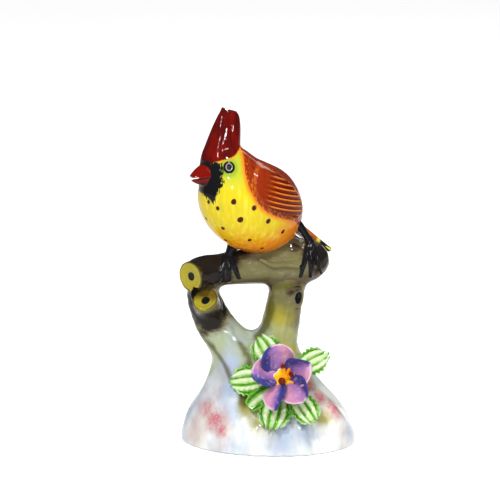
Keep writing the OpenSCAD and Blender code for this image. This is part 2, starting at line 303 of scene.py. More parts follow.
MOUND_ROWS = mound_rows()
PERCH_END = perch_at(-25)
PERCH_CUT = unit(perch_at(-25) - perch_at(-21))
PERCH_ROWS = curve([[*(PERCH_END + 2 * PERCH_CUT), 5], [*PERCH_END, 5]]
                   + [[*perch_at(x), perch_radius(x)] for x in (-21, -12, 0, 11)]
                   + [[*perch_at(14), 6.6], [*perch_at(16), 4.2], [*perch_at(16.6), 2.8]], 5)
LEFT_STEM = curve([[-3.4, -2, MOUND_H - 12.4, 6.5], [-8.5, -1.4, MOUND_H - 6, 6.5],
                   [-14.4, -1, MOUND_H + 0.5, 6.5],
                   [-18.2, -1, PERCH[2] - 17.3, 6.1], [-20.9, -1.4, PERCH[2] - 9.5, 5.4],
                   [*perch_at(-20.5), 4.8]], 4)
RIGHT_STEM = curve([[1, -1, MOUND_H - 12.4, 7.2], [2.6, -1, MOUND_H - 5.4, 7],
                    [4.3, -0.5, MOUND_H + 2.5, 6.4],
                    [6.1, 0, PERCH[2] - 11.8, 5.8], [7, 0.8, PERCH[2] - 5.5, 6], [*perch_at(7.4), 6]], 4)
STUB_END = np.array([-20.2, -8, PERCH[2] - 9.8])
STUB_CUT = unit((-0.3, -0.66, 0.69))
STUB_ROWS = np.array([[-17.2, -1.5, PERCH[2] - 20, 4.2], [-18.8, -4.6, PERCH[2] - 14, 4.2],
                      [*STUB_END, 4.3], [*(STUB_END + 3 * STUB_CUT), 4.3]])
KNOT = np.array([10.6, -4.6, PERCH[2] - 10.2])
RIDGES = [
    curve([[-2, -5.6, PERCH[2] + 3.0, 0.5], [2, -6, PERCH[2] + 1.2, 0.9], [6, -6, PERCH[2] + 1.4, 0.9],
           [11, -6.1, PERCH[2] + 0.6, 0.5]], 4),
    curve([[7.6, -5.0, PERCH[2] - 6, 0.6], [7, -5.6, PERCH[2] - 12, 0.9], [5.2, -6.2, PERCH[2] - 20, 0.9],
           [4.2, -7, PERCH[2] - 25, 0.5]], 4),
    curve([[-15, -6.4, PERCH[2] - 21, 0.5], [-12, -7.2, PERCH[2] - 25, 0.9], [-8, -8.2, PERCH[2] - 29, 1.0],
           [-6.2, -9.4, PERCH[2] - 35, 0.6]], 4),
    curve([[-18, 4.6, PERCH[2] - 8, 0.5], [-15, 5.4, PERCH[2] - 16, 0.9], [-8, 6.4, PERCH[2] - 24, 0.8]], 4),
]


def mound_field(points):
    """The mound, with a flat foot."""
    side = lofted(points, MOUND_ROWS, MOUND_TURN, mound_folds)
    return smooth_max(side, -points[:, 2], 0.7)


def sawn_plane(points, end, normal, radius):
    """Half space of a sawn end: a rim, a shallow dish inside it and the pit of the pith."""
    height = (points - end) @ normal
    apart = length(points - end - height[:, None] * normal)
    dish = 0.4 * (1 - ease(apart, 0.45 * radius, 0.85 * radius))
    pith = 0.3 * (1 - ease(apart, 1.0, 1.7))
    return height + dish + pith


def perch_field(points):
    """The perch, its swelling under the bird and its sawn end."""
    body = smooth_min(limb(points, PERCH_ROWS), egg(points, perch_at(6.5) + (0, 0, 3.8), (6, 5.5, 6)), 2.5)
    return smooth_max(body, sawn_plane(points, PERCH_END, PERCH_CUT, 5), 0.5)


def stub_field(points):
    """The sawn stub."""
    return smooth_max(limb(points, STUB_ROWS), sawn_plane(points, STUB_END, STUB_CUT, 4.3), 0.5)


def knot_pit(points):
    """How deep the knot hole in the right stem is."""
    q = (points - KNOT) * (1.0, 0.35, 0.62)
    return 1.5 * (1 - ease(length(q), 0.2, 1.5)) - 0.35 * hump(length(q), 1.9, 0.5)


def bark_relief(points):
    """Lengthwise grain of the bark, in millimetres."""
    x, y, z = points.T
    grain = np.sin(1.9 * y + 0.5 * np.sin(0.35 * x)) * np.sin(1.7 * z - 0.16 * x + 0.8 * np.sin(0.3 * x))
    return 0.05 * grain + 0.06 * np.sin(0.5 * x + 0.9 * z) * np.sin(0.6 * y)


# ---- bird ----------------------------------------------------------------------------------------

WING_OUTLINE = curve([(11.6, 8.6), (10, 10.8), (6, 11.7), (1, 11.2), (-5, 9.9), (-9.6, 7.7), (-12, 4.6),
                      (-11, 1.5), (-6.6, 0), (-3, -1.1), (3, -2.2), (8, -1.2), (11.4, 1.2), (12.4, 5.1),
                      (11.6, 8.6)], 3)[:-1]
BACK_OUTLINE = curve([(15.4, 14), (15.3, 9.6), (14.6, 5.6), (12.4, 1.2), (8.6, -1.6), (4, -2.9), (-2.6, -2.2),
                      (-8.8, -0.6), (-14, -0.6), (-19, -2), (-24, -1), (-24, 20), (0, 24), (14, 22),
                      (15.4, 14)], 3)[:-1]
CREST_ROWS = curve([(-1.64, 1.8, 0, 6.8, 5.6), (3.69, 2.0, 0, 6.9, 5.3), (8.2, 1.05, 0, 6.2, 4.7),
                    (13.6, -0.3, 0, 5.0, 3.6), (17.56, -1.1, 0, 3.7, 2.4), (19.24, -1.2, 0, 3.1, 1.8),
                    (20.6, -1.2, 0, 2.8, 1.3)], 4)
CROWN = [(-5.2, 15.6), (-4.5, 17.4), (-3.4, 18.7), (-2.2, 19.1), (-1.3, 18.7), (-0.7, 17.7), (-0.2, 18.3),
         (0.25, 20.45), (0.7, 20.45), (1.8, 18.2)]
FEATHER_PITCH = 1.65
LEFT_FOOT_X, RIGHT_FOOT_X = -12.6, 14.4


def toe_rows(x):
    """The four toes of a foot that grips the perch at x, and its leg."""
    toes = []
    for spread, start, stop in ((-3.2, 20, 118), (0.2, 20, 128), (3.6, 20, 118), (0.4, 20, -70)):
        steps = [on_perch(x + spread * f, start + (stop - start) * f, -0.15) for f in np.linspace(0, 1, 9)]
        toes.append(np.array([[*p, 0.95 - 0.5 * (k / 8) ** 1.5] for k, p in enumerate(steps)]))
    return toes


def leg_rows(x, hip, thick):
    """The leg from the belly down to the perch."""
    ankle = on_perch(x, 25, 0.1)
    return np.array([[*hip, thick], [*((hip + ankle) / 2), 0.5 + 0.5 * thick], [*ankle, 1.2]])


LEFT_LEG = leg_rows(LEFT_FOOT_X, np.array([-10, -4, BODY_CENTRE[2] - 11.6]), 2.6)
RIGHT_LEG = leg_rows(RIGHT_FOOT_X, np.array([10.9, -1.2, BODY_CENTRE[2] - 7.6]), 1.3)


def foot_field(points, x, leg):
    """One foot: four toes and a leg."""
    toes = np.min([limb(points, rows) for rows in toe_rows(x)], axis=0)
    return smooth_min(toes, limb(points, leg), 0.8)


def wing_edge(points):
    """Signed distance to the outline of the folded wing on either side, negative on the wing."""
    b = BODY.local(points)
    side = np.abs(b[:, 1]) - 2.5
    return np.maximum(polygon_distance(b[:, 0], b[:, 2], WING_OUTLINE), -side)


def feather_row(points):
    """Counts the long feathers of a wing from its lower edge, one unit a feather."""
    b = BODY.local(points)
    fan = 0.17 * (7 - b[:, 0]) + 0.008 * (7 - b[:, 0]) ** 2 * np.sign(7 - b[:, 0])
    return (b[:, 2] - fan + 0.9) / FEATHER_PITCH


def wing_relief(points):
    """How far the wing stands proud of the body, with its feather steps."""
    edge = wing_edge(points)
    b = BODY.local(points)
    step = feather_row(points) % 1
    rear = 1 - ease(b[:, 0], 3, 8)
    feathers = 0.24 * (ease(step, 0.0, 0.75) - ease(step, 0.78, 1.0)) * rear
    return ease(-edge, -0.3, 1.3) * (1.0 - 0.3 * ease(b[:, 0], 2, 9) - 0.4 * ease(b[:, 2], 6, 11) + feathers)


def trunk_field(points):
    """Body, neck and head in one swelling form."""
    b = BODY.local(points)
    trunk = egg(b, 0, BODY_RADII) + 1.3 * hump(length(b - (3, 0, 15)), 0, 7)
    neck = egg(BIRD.local(points), (6.5, -1.2, 8.0), (8.5, 9.2, 9.2))
    head = egg(HEAD.local(points), 0, (8.6, 7.95, 8.2))
    return smooth_min(smooth_min(trunk, neck, 3), head, 3)


def crest_field(points):
    """The tall crest with its parted tip."""
    h = HEAD.local(points)
    crown = np.interp(h[:, 0], *np.array(CROWN).T)
    part = h[:, 0] + 0.7 - 0.13 * (18 - h[:, 2])
    groove = 0.45 * hump(part, 0, 0.9) * ease(h[:, 2], 6, 14)
    comb = 0.07 * np.sin(1.7 * (h[:, 0] + 0.22 * h[:, 2])) * ease(h[:, 2], 0, 8)
    return smooth_max(lofted(h, CREST_ROWS) + groove + comb, 0.6 * (h[:, 2] - crown), 0.35)


def beak_half(points, up, root, size):
    """Upper (up = 1) or lower (up = -1) half of the beak."""
    b = BEAK.local(points)
    rows = curve([(-3, 0, 0, root, root), (0, 0, 0, root, root), (0.4 * size, 0, 0, 0.8 * root, 0.8 * root),
                  (0.75 * size, 0, 0, 0.5 * root, 0.48 * root), (size, 0, 0, 0.16 * root, 0.14 * root)], 3)
    return smooth_max(lofted(b[:, [1, 2, 0]], rows), 0.06 - up * b[:, 2], 0.2)


def tail_field(points):
    """The tail, closed like a fan."""
    t = TAIL.local(points)
    rows = [(u * 20, 0, 0, 3.4 + 1.6 * u, 2.2 - 1.1 * u) for u in (0, 0.25, 0.5, 0.75, 1)]
    quill = 0.16 * np.abs(np.sin(t[:, 1] * 1.3))
    return lofted(t[:, [1, 2, 0]], rows) - quill


def eye_swell(points):
    """The eyeballs stand a little proud of the cheeks."""
    h = HEAD.local(points)
    gap = np.minimum(length(h - EYE), length(h - EYE * (1, -1, 1)))
    return 0.4 * (1 - ease(gap, 0.4, 1.9)) - 0.15 * hump(gap, 2.2, 0.4)


EYE = np.array([3.3, 7.2, 1.7])


# ---- all cast pieces in one field ----------------------------------------------------------------

CAST = ["mound_shell", "left_stem", "right_stem", "perch_branch", "sawn_stub", "bird_body", "crest",
        "upper_beak",
        "lower_beak", "tail", "left_foot", "right_foot"]


def box_field(points, node, field, grow=2.0):
    """A piece's field, worked out only near its node."""
    low, high = corners(node)
    return only_near(points, low - grow, high + grow, field)


def raw_fields(points):
    """The field of each cast piece by itself."""
    stem = corners("mound_shell")[1][2] - 14
    fields = {
        "mound_shell": box_field(points, "mound_shell", mound_field),
        "left_stem": only_near(points, np.array([-28, -9, stem]), np.array([3, 8, PERCH[2] + 6]),
                               lambda p: limb(p, LEFT_STEM)),
        "right_stem": only_near(points, np.array([-8, -10, stem]), np.array([15, 9, PERCH[2] + 8]),
                                lambda p: limb(p, RIGHT_STEM)),
        "perch_branch": box_field(points, "perch_branch", perch_field),
        "sawn_stub": box_field(points, "sawn_stub", stub_field, 3),
        "bird_body": box_field(points, "bird_body", trunk_field),
        "crest": box_field(points, "crest", crest_field, 4),
        "upper_beak": box_field(points, "upper_beak", lambda p: beak_half(p, 1, 4.0, 6.9), 3),
        "lower_beak": box_field(points, "lower_beak", lambda p: beak_half(p, -1, 3.7, 6.0), 3),
        "tail": box_field(points, "tail", tail_field, 4),
        "left_foot": box_field(points, "left_foot", lambda p: foot_field(p, LEFT_FOOT_X, LEFT_LEG)),
        "right_foot": box_field(points, "right_foot", lambda p: foot_field(p, RIGHT_FOOT_X, RIGHT_LEG)),
    }
    return fields


def joined_field(points, fields=None):
    """The whole casting: tree, bird and the hollow of the foot."""
    f = fields or raw_fields(points)
    tree = smooth_min(f["mound_shell"], f["left_stem"], 5)
    tree = smooth_min(tree, f["right_stem"], 4.5)
    tree = smooth_min(tree, f["perch_branch"], 3)
    stub = smooth_min(tree, f["sawn_stub"], 1.6)
    tree = np.maximum(stub, np.minimum(sawn_plane(points, PERCH_END, PERCH_CUT, 5), FAR)
                      * (length(points - PERCH_END) < 7) - FAR * (length(points - PERCH_END) >= 7))
    near_stub = length(points - STUB_END) < 5.2
    tree = np.where(near_stub, smooth_max(tree, sawn_plane(points, STUB_END, STUB_CUT, 4.3), 0.4), tree)
    for rows in RIDGES:
        low, high = rows[:, :3].min(0) - 2, rows[:, :3].max(0) + 2
        tree = smooth_min(tree, only_near(points, low, high, lambda p, r=rows: limb(p, r), 3), 1.2)
    wood = ease(points[:, 2], MOUND_H - 8, MOUND_H + 6)
    tree = tree - bark_relief(points) * wood
    tree = tree + only_near(points, KNOT - 3, KNOT + 3, knot_pit, 0.5) * (length(points - KNOT) < 4)
    bird = smooth_min(f["bird_body"], f["tail"], 0.8)
    shoulders = only_near(points, *corners("bird_body"), lambda p: -wing_relief(p), 2.0)
    bird = bird + np.where(shoulders < 0.5, shoulders, 0)
    bird = smooth_min(bird, f["crest"], 1.2)
    bird = bird - np.where(f["upper_beak"] < 12, eye_swell(points), 0)
    bird = smooth_min(bird, f["upper_beak"], 0.4)
    bird = smooth_min(bird, f["lower_beak"], 0.4)
    whole = smooth_min(tree, bird, 0.9)
    whole = smooth_min(whole, np.minimum(f["left_foot"], f["right_foot"]), 0.9)
    return np.maximum(whole, -foot_hollow(points))


def foot_hollow(points):
    """The shallow recess under the mound and its vent hole."""
    x, y = points[:, 0] - MOUND_MID[0], points[:, 1] - MOUND_MID[1]
    wide, deep = MOUND_HALF - 4
    rim = (np.hypot(x / wide, y / deep) - 1) * deep
    recess = smooth_max(rim, points[:, 2] - 1.0, 0.4)
    vent = np.maximum(np.hypot(x, y) - 4.0, points[:, 2] - 6)
    chamber = egg(points, (*MOUND_MID, 10), (13, 9, 6))
    return np.minimum(np.minimum(recess, vent), chamber)


def field_normals(points, reach=0.08):
    """Outward unit normals of the joined field, from four samples around each point."""
    corners_of = np.array([[1, -1, -1], [-1, -1, 1], [-1, 1, -1], [1, 1, 1]], float)
    slope = sum(c * joined_field(points + reach * c)[:, None] for c in corners_of) / (4 * reach)
    return slope


def cast_mesh(cell):
    """Vertices and quads of the joined field at a cell size in millimetres, pulled onto the field itself."""
    low = np.array([-31, -24, -1.2])
    high = np.array([32, 26, CAD_BOX[1][2] / MM + 1.2])
    step = 4
    count = np.ceil((high - low) / (cell * step)).astype(int)
    centres = [low[k] + cell * (step * np.arange(count[k]) + (step - 1) / 2) for k in range(3)]
    grid = np.stack(np.meshgrid(*centres, indexing="ij"), -1).reshape(-1, 3)
    rough = joined_field(grid).reshape(count)
    reach = cell * step * 1.35
    values = np.repeat(np.repeat(np.repeat(np.sign(rough) * cell * 3, step, 0), step, 1), step, 2)
    inner = np.stack(np.meshgrid(*[np.arange(step)] * 3, indexing="ij"), -1).reshape(-1, 3)
    blocks = np.argwhere(np.abs(rough) < reach)
    index = (blocks[:, None, :] * step + inner[None]).reshape(-1, 3)
    fine = joined_field(low + cell * index)
    values[tuple(index.T)] = np.clip(fine, -cell * 3, cell * 3)
    volume = openvdb.FloatGrid()
    volume.copyFromArray(values.astype(np.float32))
    points, quads = volume.convertToQuads(0.0)
    points = low + cell * np.asarray(points, float)
    for _ in range(2):
        slope = field_normals(points)
        size = np.maximum((slope ** 2).sum(1), 0.05)
        shift = -joined_field(points)[:, None] * slope / size[:, None]
        far = np.maximum(length(shift) / (0.6 * cell), 1)
        points = points + shift / far[:, None]
    return points, np.asarray(quads)


# ---- painted marks, as fields on the skin --------------------------------------------------------

SPOTS = [(41, -17, 1.0), (22, -32, 0.8), (64, -13, 0.95), (55, -34, 1.15), (85, -19, 0.95), (29, -56, 0.85),
         (111, -20, 0.85), (84, -54, 0.8), (15, -78, 0.75), (121, -54, 0.7), (-13, -49, 0.8), (6, -28, 0.75),
         (-45, -22, 0.9), (-68, -14, 0.95), (-58, -38, 1.0), (-88, -22, 0.9), (-38, -60, 0.8),
         (-112, -24, 0.8),
         (-90, -50, 0.8)]
CAP_LINE = [(-9, 9.5), (-5, 8.4), (-2, 6.6), (1.1, 4.9), (4.6, 4.0), (6.8, 3.4), (8.2, 2.2), (10, 1.4)]
BIB = [(5.4, 3.4), (6.5, 1.4), (7.2, -1.0), (7.9, -3.4), (7.5, -5.4), (6.9, -7.4), (5.9, -9.8), (4.4, -8.6),
       (2.4, -8.0), (0, -7.2), (-2.4, -6.6), (-4.6, -5), (-6, -2), (-5.4, 1.2), (-3, 3.2), (0, 3.6)]


def spot_distance(points):
    """Distance to the nearest painted spot of the breast, negative inside it."""
    b = BODY.local(points)
    best = np.full(len(points), FAR)
    for longitude, latitude, size in SPOTS:
        a, e = math.radians(longitude), math.radians(latitude)
        at = np.array(BODY_RADII) * (math.cos(e) * math.cos(a), math.cos(e) * math.sin(a), math.sin(e))
        best = np.minimum(best, length((b - at) * (1, 1, 0.8)) - 0.85 * size)
    return best


def blob(points, *places):
    """How strongly soft blobs of colour cover each point. A place is x, y, z, reach and strength."""
    cover = np.zeros(len(points))
    for x, y, z, reach, strength in places:
        gap = length(points - np.array([x, y, z])) / reach
        cover = np.maximum(cover, strength * np.exp(-gap ** 2))
    return cover


def bird_marks(points, fields):
    """Everything that the painter's brush needs to know on the bird."""
    h, b, t = HEAD.local(points), BODY.local(points), TAIL.local(points)
    gap = np.minimum(length((h - EYE) * (1.03, 1, 0.9)), length((h - EYE * (1, -1, 1)) * (1.03, 1, 0.9)))
    both_halves = np.minimum(fields["upper_beak"], fields["lower_beak"])
    beak = both_halves - np.minimum(fields["bird_body"], fields["crest"])
    others = np.min([fields[n] for n in CAST if "foot" not in n], axis=0)
    return {
        "cap": np.maximum(h[:, 2] - np.interp(h[:, 0], *np.array(CAP_LINE).T),
                          fields["bird_body"] - fields["crest"] - 0.4),
        "bib": np.minimum(-polygon_distance(h[:, 1], h[:, 2], BIB), h[:, 0] - 1),
        "back": -polygon_distance(b[:, 0], b[:, 2], BACK_OUTLINE),
        "wing": -wing_edge(points),
        "feather": feather_row(points),
        "forward": b[:, 0],
        "height": (points[:, 2] - BODY_CENTRE[2]) / BODY_RADII[2],
        "flank": b[:, 1] / BODY_RADII[1],
        "eye": gap,
        "beak": -beak,
        "beak_tip": BEAK.local(points)[:, 0],
        "mouth": BEAK.local(points)[:, 2],
        "spot": -spot_distance(points),
        "tail": np.minimum(fields["bird_body"], fields["perch_branch"]) - fields["tail"],
        "tail_side": np.abs(t[:, 1]),
        "tail_out": t[:, 0],
        "toe": others - np.minimum(fields["left_foot"], fields["right_foot"]),
        "crest_tip": h[:, 2] - 17.2 - 1.6 * np.abs(h[:, 0] + 0.5),
    }


def stroke(points, reach, *rows):
    """How strongly a soft brush line through the rows covers each point."""
    path = np.array([(*row, 0) for row in rows], float)
    return np.exp(-(np.maximum(limb(points, path), 0) / reach) ** 2)


def tree_marks(points, fields):
    """Everything that the painter's brush needs to know on the branches and the mound."""
    p = PERCH[2]
    others = np.min([fields[n] for n in CAST if "foot" not in n], axis=0)

    def face(end, normal, radius):
        """How far inside a sawn face, how far inside its pith, and how high up on it."""
        height = (points - end) @ normal
        apart = length(points - end - height[:, None] * normal)
        inside = np.minimum(np.minimum(height + 1.1, 1 - height), radius - apart)
        return inside, PITH_RADIUS - apart, (points[:, 2] - end[2]) / radius

    link = np.array([[*(PERCH_END + (-1.2, -0.8, -3.8)), 1.8], [*(STUB_END + (-3.4, -0.8, 2.2)), 1.6]])
    perch_cut, perch_pith, perch_up = face(PERCH_END, PERCH_CUT, 4.9)
    stub_cut, stub_pith, stub_up = face(STUB_END, STUB_CUT, 4.2)
    return {
        "char": blob(points, (-23, -7, p + 4, 6, 1.5), (-18, -7, p + 5, 6, 1.5), (-13, -6, p + 5, 5.5, 1.4),
                     (-18, -9, p - 2, 4.5, 1.3), (-13.5, -7, p - 3, 4.2, 0.9), (-9, -4, p + 7, 4.5, 1.1),
                     (-27, -7, p - 3, 4, 1.2), (-26, -4, p - 10, 5, 1.2), (-24, -5, p - 16, 4.2, 1.1),
                     (-18.5, -6.5, p - 16.5, 4.6, 1.35), (-14.5, -5, p - 13, 3.6, 1),
                     (-19.5, -4, p - 20.5, 3.4, 0.9),
                     (10, -5, p + 8, 3.5, 0.9), (15, -5, p + 6, 4, 1.3), (19, -2, p + 4, 5, 1.3),
                     (17.5, -6, p - 2, 4, 1.0), (11, -6, p - 6.5, 3, 0.8), (8, -6, p - 8, 2.2, 0.6),
                     (0.4, -3, p - 7, 1.8, 0.9), (5, 7, p - 6, 7, 0.9), (-14, 6, p, 7, 1.0),
                     (-20, 4, p - 12, 6, 0.9),
                     (12, 8, p + 2, 7, 1.0)),
        # painted highlight: a pale line along the ridges of the perch and of the right stem
        "vein": -np.minimum(limb(points, RIDGES[0] - (0, 0, 0, 0.45)),
                            limb(points, RIDGES[1] - (0, 0, 0, 0.45))),
        "pale": 1 - ease(points[:, 2] + 0.35 * np.abs(points[:, 0] + 3), MOUND_H - 2, MOUND_H + 15),
        "white": 1 - ease(points[:, 2], 8, 34),
        "cut": np.maximum(np.maximum(perch_cut, stub_cut), -limb(points, link)),
        "pith": np.maximum(np.minimum(perch_pith, perch_cut), np.minimum(stub_pith, stub_cut)),
        # painted shade and light across each sawn face: how high up on the face sets its brown painted shade
        # and the bright painted lip at the stub's lower edge
        "cut_shade": np.where(stub_cut > perch_cut, stub_up, -0.2 * perch_up - 0.3),
        "knot": 1.5 - length((points - KNOT) * (1.0, 0.35, 0.62)),
        "moss": blob(points, (3.5, -6, MOUND_H + 7, 7, 0.6), (6, -6, MOUND_H, 7, 0.65),
                     (-1, -7, MOUND_H - 3, 5, 0.7),
                     (10, -6, MOUND_H - 3, 5, 0.8), (-6, -16, 16, 5, 1.3), (-2, -18, 12, 5.5, 1.1),
                     (19, -13, 12, 4.2, 1.1), (-6, 8, MOUND_H - 4, 6, 0.8), (14, 14, 16, 5, 0.8)),
        # painted shade: dark olive under the leaves, along the edges of the stems, under the perch and in the
        # crooks behind the stems
        "shade": np.max([blob(points, (-6.5, -14, 18.5, 3.4, 1.2), (-1.5, -16, 15.5, 3.4, 1.1),
                              (13, -16, 11.5, 3, 0.6),
                              (-12, 5, 36, 3, 0.7), (8, 6, 36, 3, 0.7)),
                         stroke(points, 1.9, (-10.5, -7, 41), (-8.6, -8, 36), (-6, -9, 31), (-5, -11, 26)),
                         0.9 * stroke(points, 1.8, (-22, -3, 39), (-18, -5, 34), (-14.5, -7, 29),
                                      (-11.5, -9, 24)),
                         stroke(points, 2.4, (-0.2, -4, 54), (1.2, -4.6, 47), (-0.6, -5, 41), (-3, -5, 38)),
                         stroke(points, 2.2, (-13, -4, 53), (-7, -4, 54), (0, -4.4, 54), (8, -5, 54.6),
                                (14, -5, 56))],
                        axis=0),
        # painted shade: the bark grows darker towards the top and the underside of the perch, where its round
        # turns away from the light
        "rim_dark": ease(np.abs(points[:, 2] - p - 0.085 * points[:, 0] - 1) / 6.3, 0.35, 1.0)
                    * (fields["perch_branch"] < 1.5) * ease(points[:, 2], p - 9, p - 6),
        "pink": blob(points, (-18, -12, 11, 5.4, 1.1), (-15.5, -15, 8, 4, 1), (-21, -8, 14, 5, 0.9),
                     (18, -9, 18, 4.2, 1), (22, -8, 13.5, 4.6, 1.1), (14.5, -9, 22, 4, 1),
                     (16, 16, 12, 6, 0.8), (-14, 17, 10, 6, 0.8)),
        "beige": blob(points, (-23, -8, 8, 8, 1), (-19, -9, 19, 6, 0.9), (-17, -16, 5, 6, 0.8),
                      (-15, -8, 25, 4, 0.6),
                      (24, -10, 6, 6, 0.6), (16, -12, 18, 5, 0.5), (20, 12, 10, 9, 0.8),
                      (-18, 12, 14, 9, 0.8)),
        "blue": blob(points, (-13.5, -9, 27, 5, 1.2), (-13, -11, 21, 5.4, 1.2), (-11, -14, 15, 5, 0.8),
                     (6, -20, 8, 7, 1), (13, -18, 8, 6, 1), (0, -21, 5, 6, 0.6), (27, -5, 5, 5, 0.8),
                     (0, 20, 18, 9, 0.8), (-26, 2, 12, 6, 0.6)),
        "height": points[:, 2],
        "toe": others - np.minimum(fields["left_foot"], fields["right_foot"]),
    }


# ---- meshes --------------------------------------------------------------------------------------

def close_loops(points, normals, quads):
    """Closes every open edge loop of a part with a fan, so that the part is a solid of its own."""
    used = {}
    for quad in quads:
        for a, b in zip(quad, np.roll(quad, -1)):
            used[(int(a), int(b))] = True
    follow = {}
    for a, b in used:
        if (b, a) not in used:
            follow.setdefault(b, []).append(a)
    faces, extra = [], []
    while follow:
        start = next(iter(follow))
        loop, at = [start], follow[start].pop()
        if not follow[start]:
            del follow[start]
        while at != start and at in follow:
            loop.append(at)
            step = follow[at].pop()
            if not follow[at]:
                del follow[at]
            at = step
        if len(loop) > 2:
            hub = len(points) + len(extra)
            extra.append((points[loop].mean(0), unit(normals[loop].mean(0) + 1e-6)))
            faces += [(a, b, hub) for a, b in zip(loop, loop[1:] + loop[:1])]
    if extra:
        points = np.vstack([points, [e[0] for e in extra]])
        normals = np.vstack([normals, [e[1] for e in extra]])
    return points, normals, faces


def add_piece(name, node, material, points, faces, normals=None, marks=None):
    """Makes one visual piece that stands for a CAD node. Points come in millimetres."""
    mesh = bpy.data.meshes.new(name)
    mesh.from_pydata((np.asarray(points) * MM).tolist(), [], [tuple(map(int, f)) for f in faces])
    mesh.validate()
    mesh.shade_smooth()
    for mark, values in (marks or {}).items():
        layer = mesh.attributes.new(mark, "FLOAT", "POINT")
        padded = np.zeros(len(mesh.vertices), np.float32)
        padded[:len(values)] = values
        layer.data.foreach_set("value", padded)
    if normals is not None:
        mesh.normals_split_custom_set_from_vertices(normals.tolist())
    mesh.materials.append(material)
    piece = bpy.data.objects.new(f"{name}_glazed", mesh)
    bpy.context.scene.collection.objects.link(piece)
    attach(piece, "root")
    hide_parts(node)
    return piece


class Casting:
    """The joined skin of all cast pieces, meshed once and shared out between them."""

    made = None

    def __init__(self, cell):
        self.points, self.quads = cast_mesh(cell)
        slope = field_normals(self.points)
        self.normals = slope / np.maximum(length(slope), 1e-6)[:, None]
        centres = self.points[self.quads].mean(1)
        fields = raw_fields(centres)
        order = np.argmin([fields[n] for n in CAST], axis=0)
        self.owner = np.array(CAST, dtype=object)[order]
        on_wing = (self.owner == "bird_body") & (wing_edge(centres) < -0.1)
        left = BODY.local(centres)[:, 1] > 0
        self.owner[on_wing & left] = "left_wing"
        self.owner[on_wing & ~left] = "right_wing"
        self.fields = raw_fields(self.points)

    @classmethod
    def get(cls):
        """The casting, made on first use."""
        if cls.made is None:
            cls.made = cls(bpy.context.scene.songbird_form.cell / MM)
        return cls.made

    def part(self, node, slot_name, material, marks_of):
        """Cuts one cast piece out of the joined skin."""
        quads = self.quads[self.owner == node]
        if len(quads) == 0:
            raise RuntimeError(f"the casting holds no {node}")
        keep, index = np.unique(quads, return_inverse=True)
        quads = index.reshape(-1, 4)
        points, normals = self.points[keep], self.normals[keep]
        marks = marks_of(points, {n: v[keep] for n, v in self.fields.items()})
        solid, bent, fans = close_loops(points, normals, quads)
        return add_piece(node, node, material, solid, list(quads) + fans, bent, marks)


# ---- glazes --------------------------------------------------------------------------------------

class Glaze:
    """A glazed and hand-painted finish: colours are laid over each other, then covered with clear glaze."""

    def __init__(self, name, base, roughness=0.32, coat=1.0):
        self.material = bpy.data.materials.new(name)
        self.material.use_nodes = True
        self.tree = self.material.node_tree
        self.shader = self.tree.nodes["Principled BSDF"]
        self.shader.inputs["Roughness"].default_value = roughness
        self.shader.inputs["Coat Weight"].default_value = coat
        self.shader.inputs["Coat Roughness"].default_value = COAT_ROUGHNESS
        self.shader.inputs["Coat IOR"].default_value = COAT_IOR
        self.shader.inputs["Specular IOR Level"].default_value = 0.0
        self.place = self.tree.nodes.new("ShaderNodeTexCoord").outputs["Object"]
        self.colour = None
        self.lay(base, 1.0)

    def put(self, socket, value):
        """Sets a socket to a number or colour, or links it."""
        if isinstance(value, bpy.types.NodeSocket):
            self.tree.links.new(value, socket)
        elif hasattr(value, "__len__"):
            socket.default_value = (*value[:3], 1) if len(socket.default_value) == 4 else tuple(value)
        else:
            socket.default_value = value

    def mark(self, name):
        """A painted mark that the mesh carries."""
        node = self.tree.nodes.new("ShaderNodeAttribute")
        node.attribute_name = name
        return node.outputs["Fac"]

    def both(self, a, b):
        """Where two brushes both paint: their product."""
        return self.math(a, b, "MULTIPLY")

    def math(self, a, b, operation="ADD"):
        """Two values joined by one arithmetic step."""
        node = self.tree.nodes.new("ShaderNodeMath")
        node.operation = operation
        self.put(node.inputs[0], a)
        self.put(node.inputs[1], b)
        return node.outputs[0]

    def noise(self, per_mm, stretch=(1, 1, 1), detail=3.0, offset=0.0):
        """Noise around 0, from -0.5 to 0.5, at so many cells a millimetre."""
        place = self.tree.nodes.new("ShaderNodeMapping")
        place.inputs["Scale"].default_value = stretch
        place.inputs["Location"].default_value = (offset, offset * 0.7, -offset)
        self.put(place.inputs["Vector"], self.place)
        node = self.tree.nodes.new("ShaderNodeTexNoise")
        node.inputs["Scale"].default_value = per_mm / MM
        node.inputs["Detail"].default_value = detail
        self.put(node.inputs["Vector"], place.outputs[0])
        return self.math(node.outputs["Fac"], 0.5, "SUBTRACT")

    def step(self, value, low, high):
        """0 below low, 1 above high, smooth between."""
        node = self.tree.nodes.new("ShaderNodeMapRange")
        node.interpolation_type = "SMOOTHSTEP"
        self.put(node.inputs["Value"], value)
        node.inputs["From Min"].default_value = low
        node.inputs["From Max"].default_value = high
        return node.outputs["Result"]

    def brushed(self, mark, low, high, noise, amount):
        """A mark whose edge is frayed by noise."""
        return self.step(self.math(mark, self.both(noise, amount)), low, high)

    def lay(self, colour, mask):
        """Lays a colour over what is there, where the mask is 1."""
        if self.colour is None:
            self.colour = colour
            return self
        node = self.tree.nodes.new("ShaderNodeMix")
        node.data_type = "RGBA"
        self.put(node.inputs["Factor"], mask)
        self.put(node.inputs[6], self.colour)
        self.put(node.inputs[7], colour)
        self.colour = node.outputs[2]
        return self

    def fire(self, bump=0.25, per_mm=0.35, extra=None):
        """Links the colour and the gentle unevenness of the glaze, and returns the material."""
        self.put(self.shader.inputs["Base Color"], self.colour)
        height = self.noise(per_mm, detail=1.5, offset=3.0)
        if extra is not None:
            height = self.math(height, extra)
        node = self.tree.nodes.new("ShaderNodeBump")
        node.inputs["Strength"].default_value = bump
        node.inputs["Distance"].default_value = 0.3 * MM
        self.put(node.inputs["Height"], height)
        self.put(self.shader.inputs["Normal"], node.outputs["Normal"])
        self.put(self.shader.inputs["Coat Normal"], node.outputs["Normal"])
        return self.material


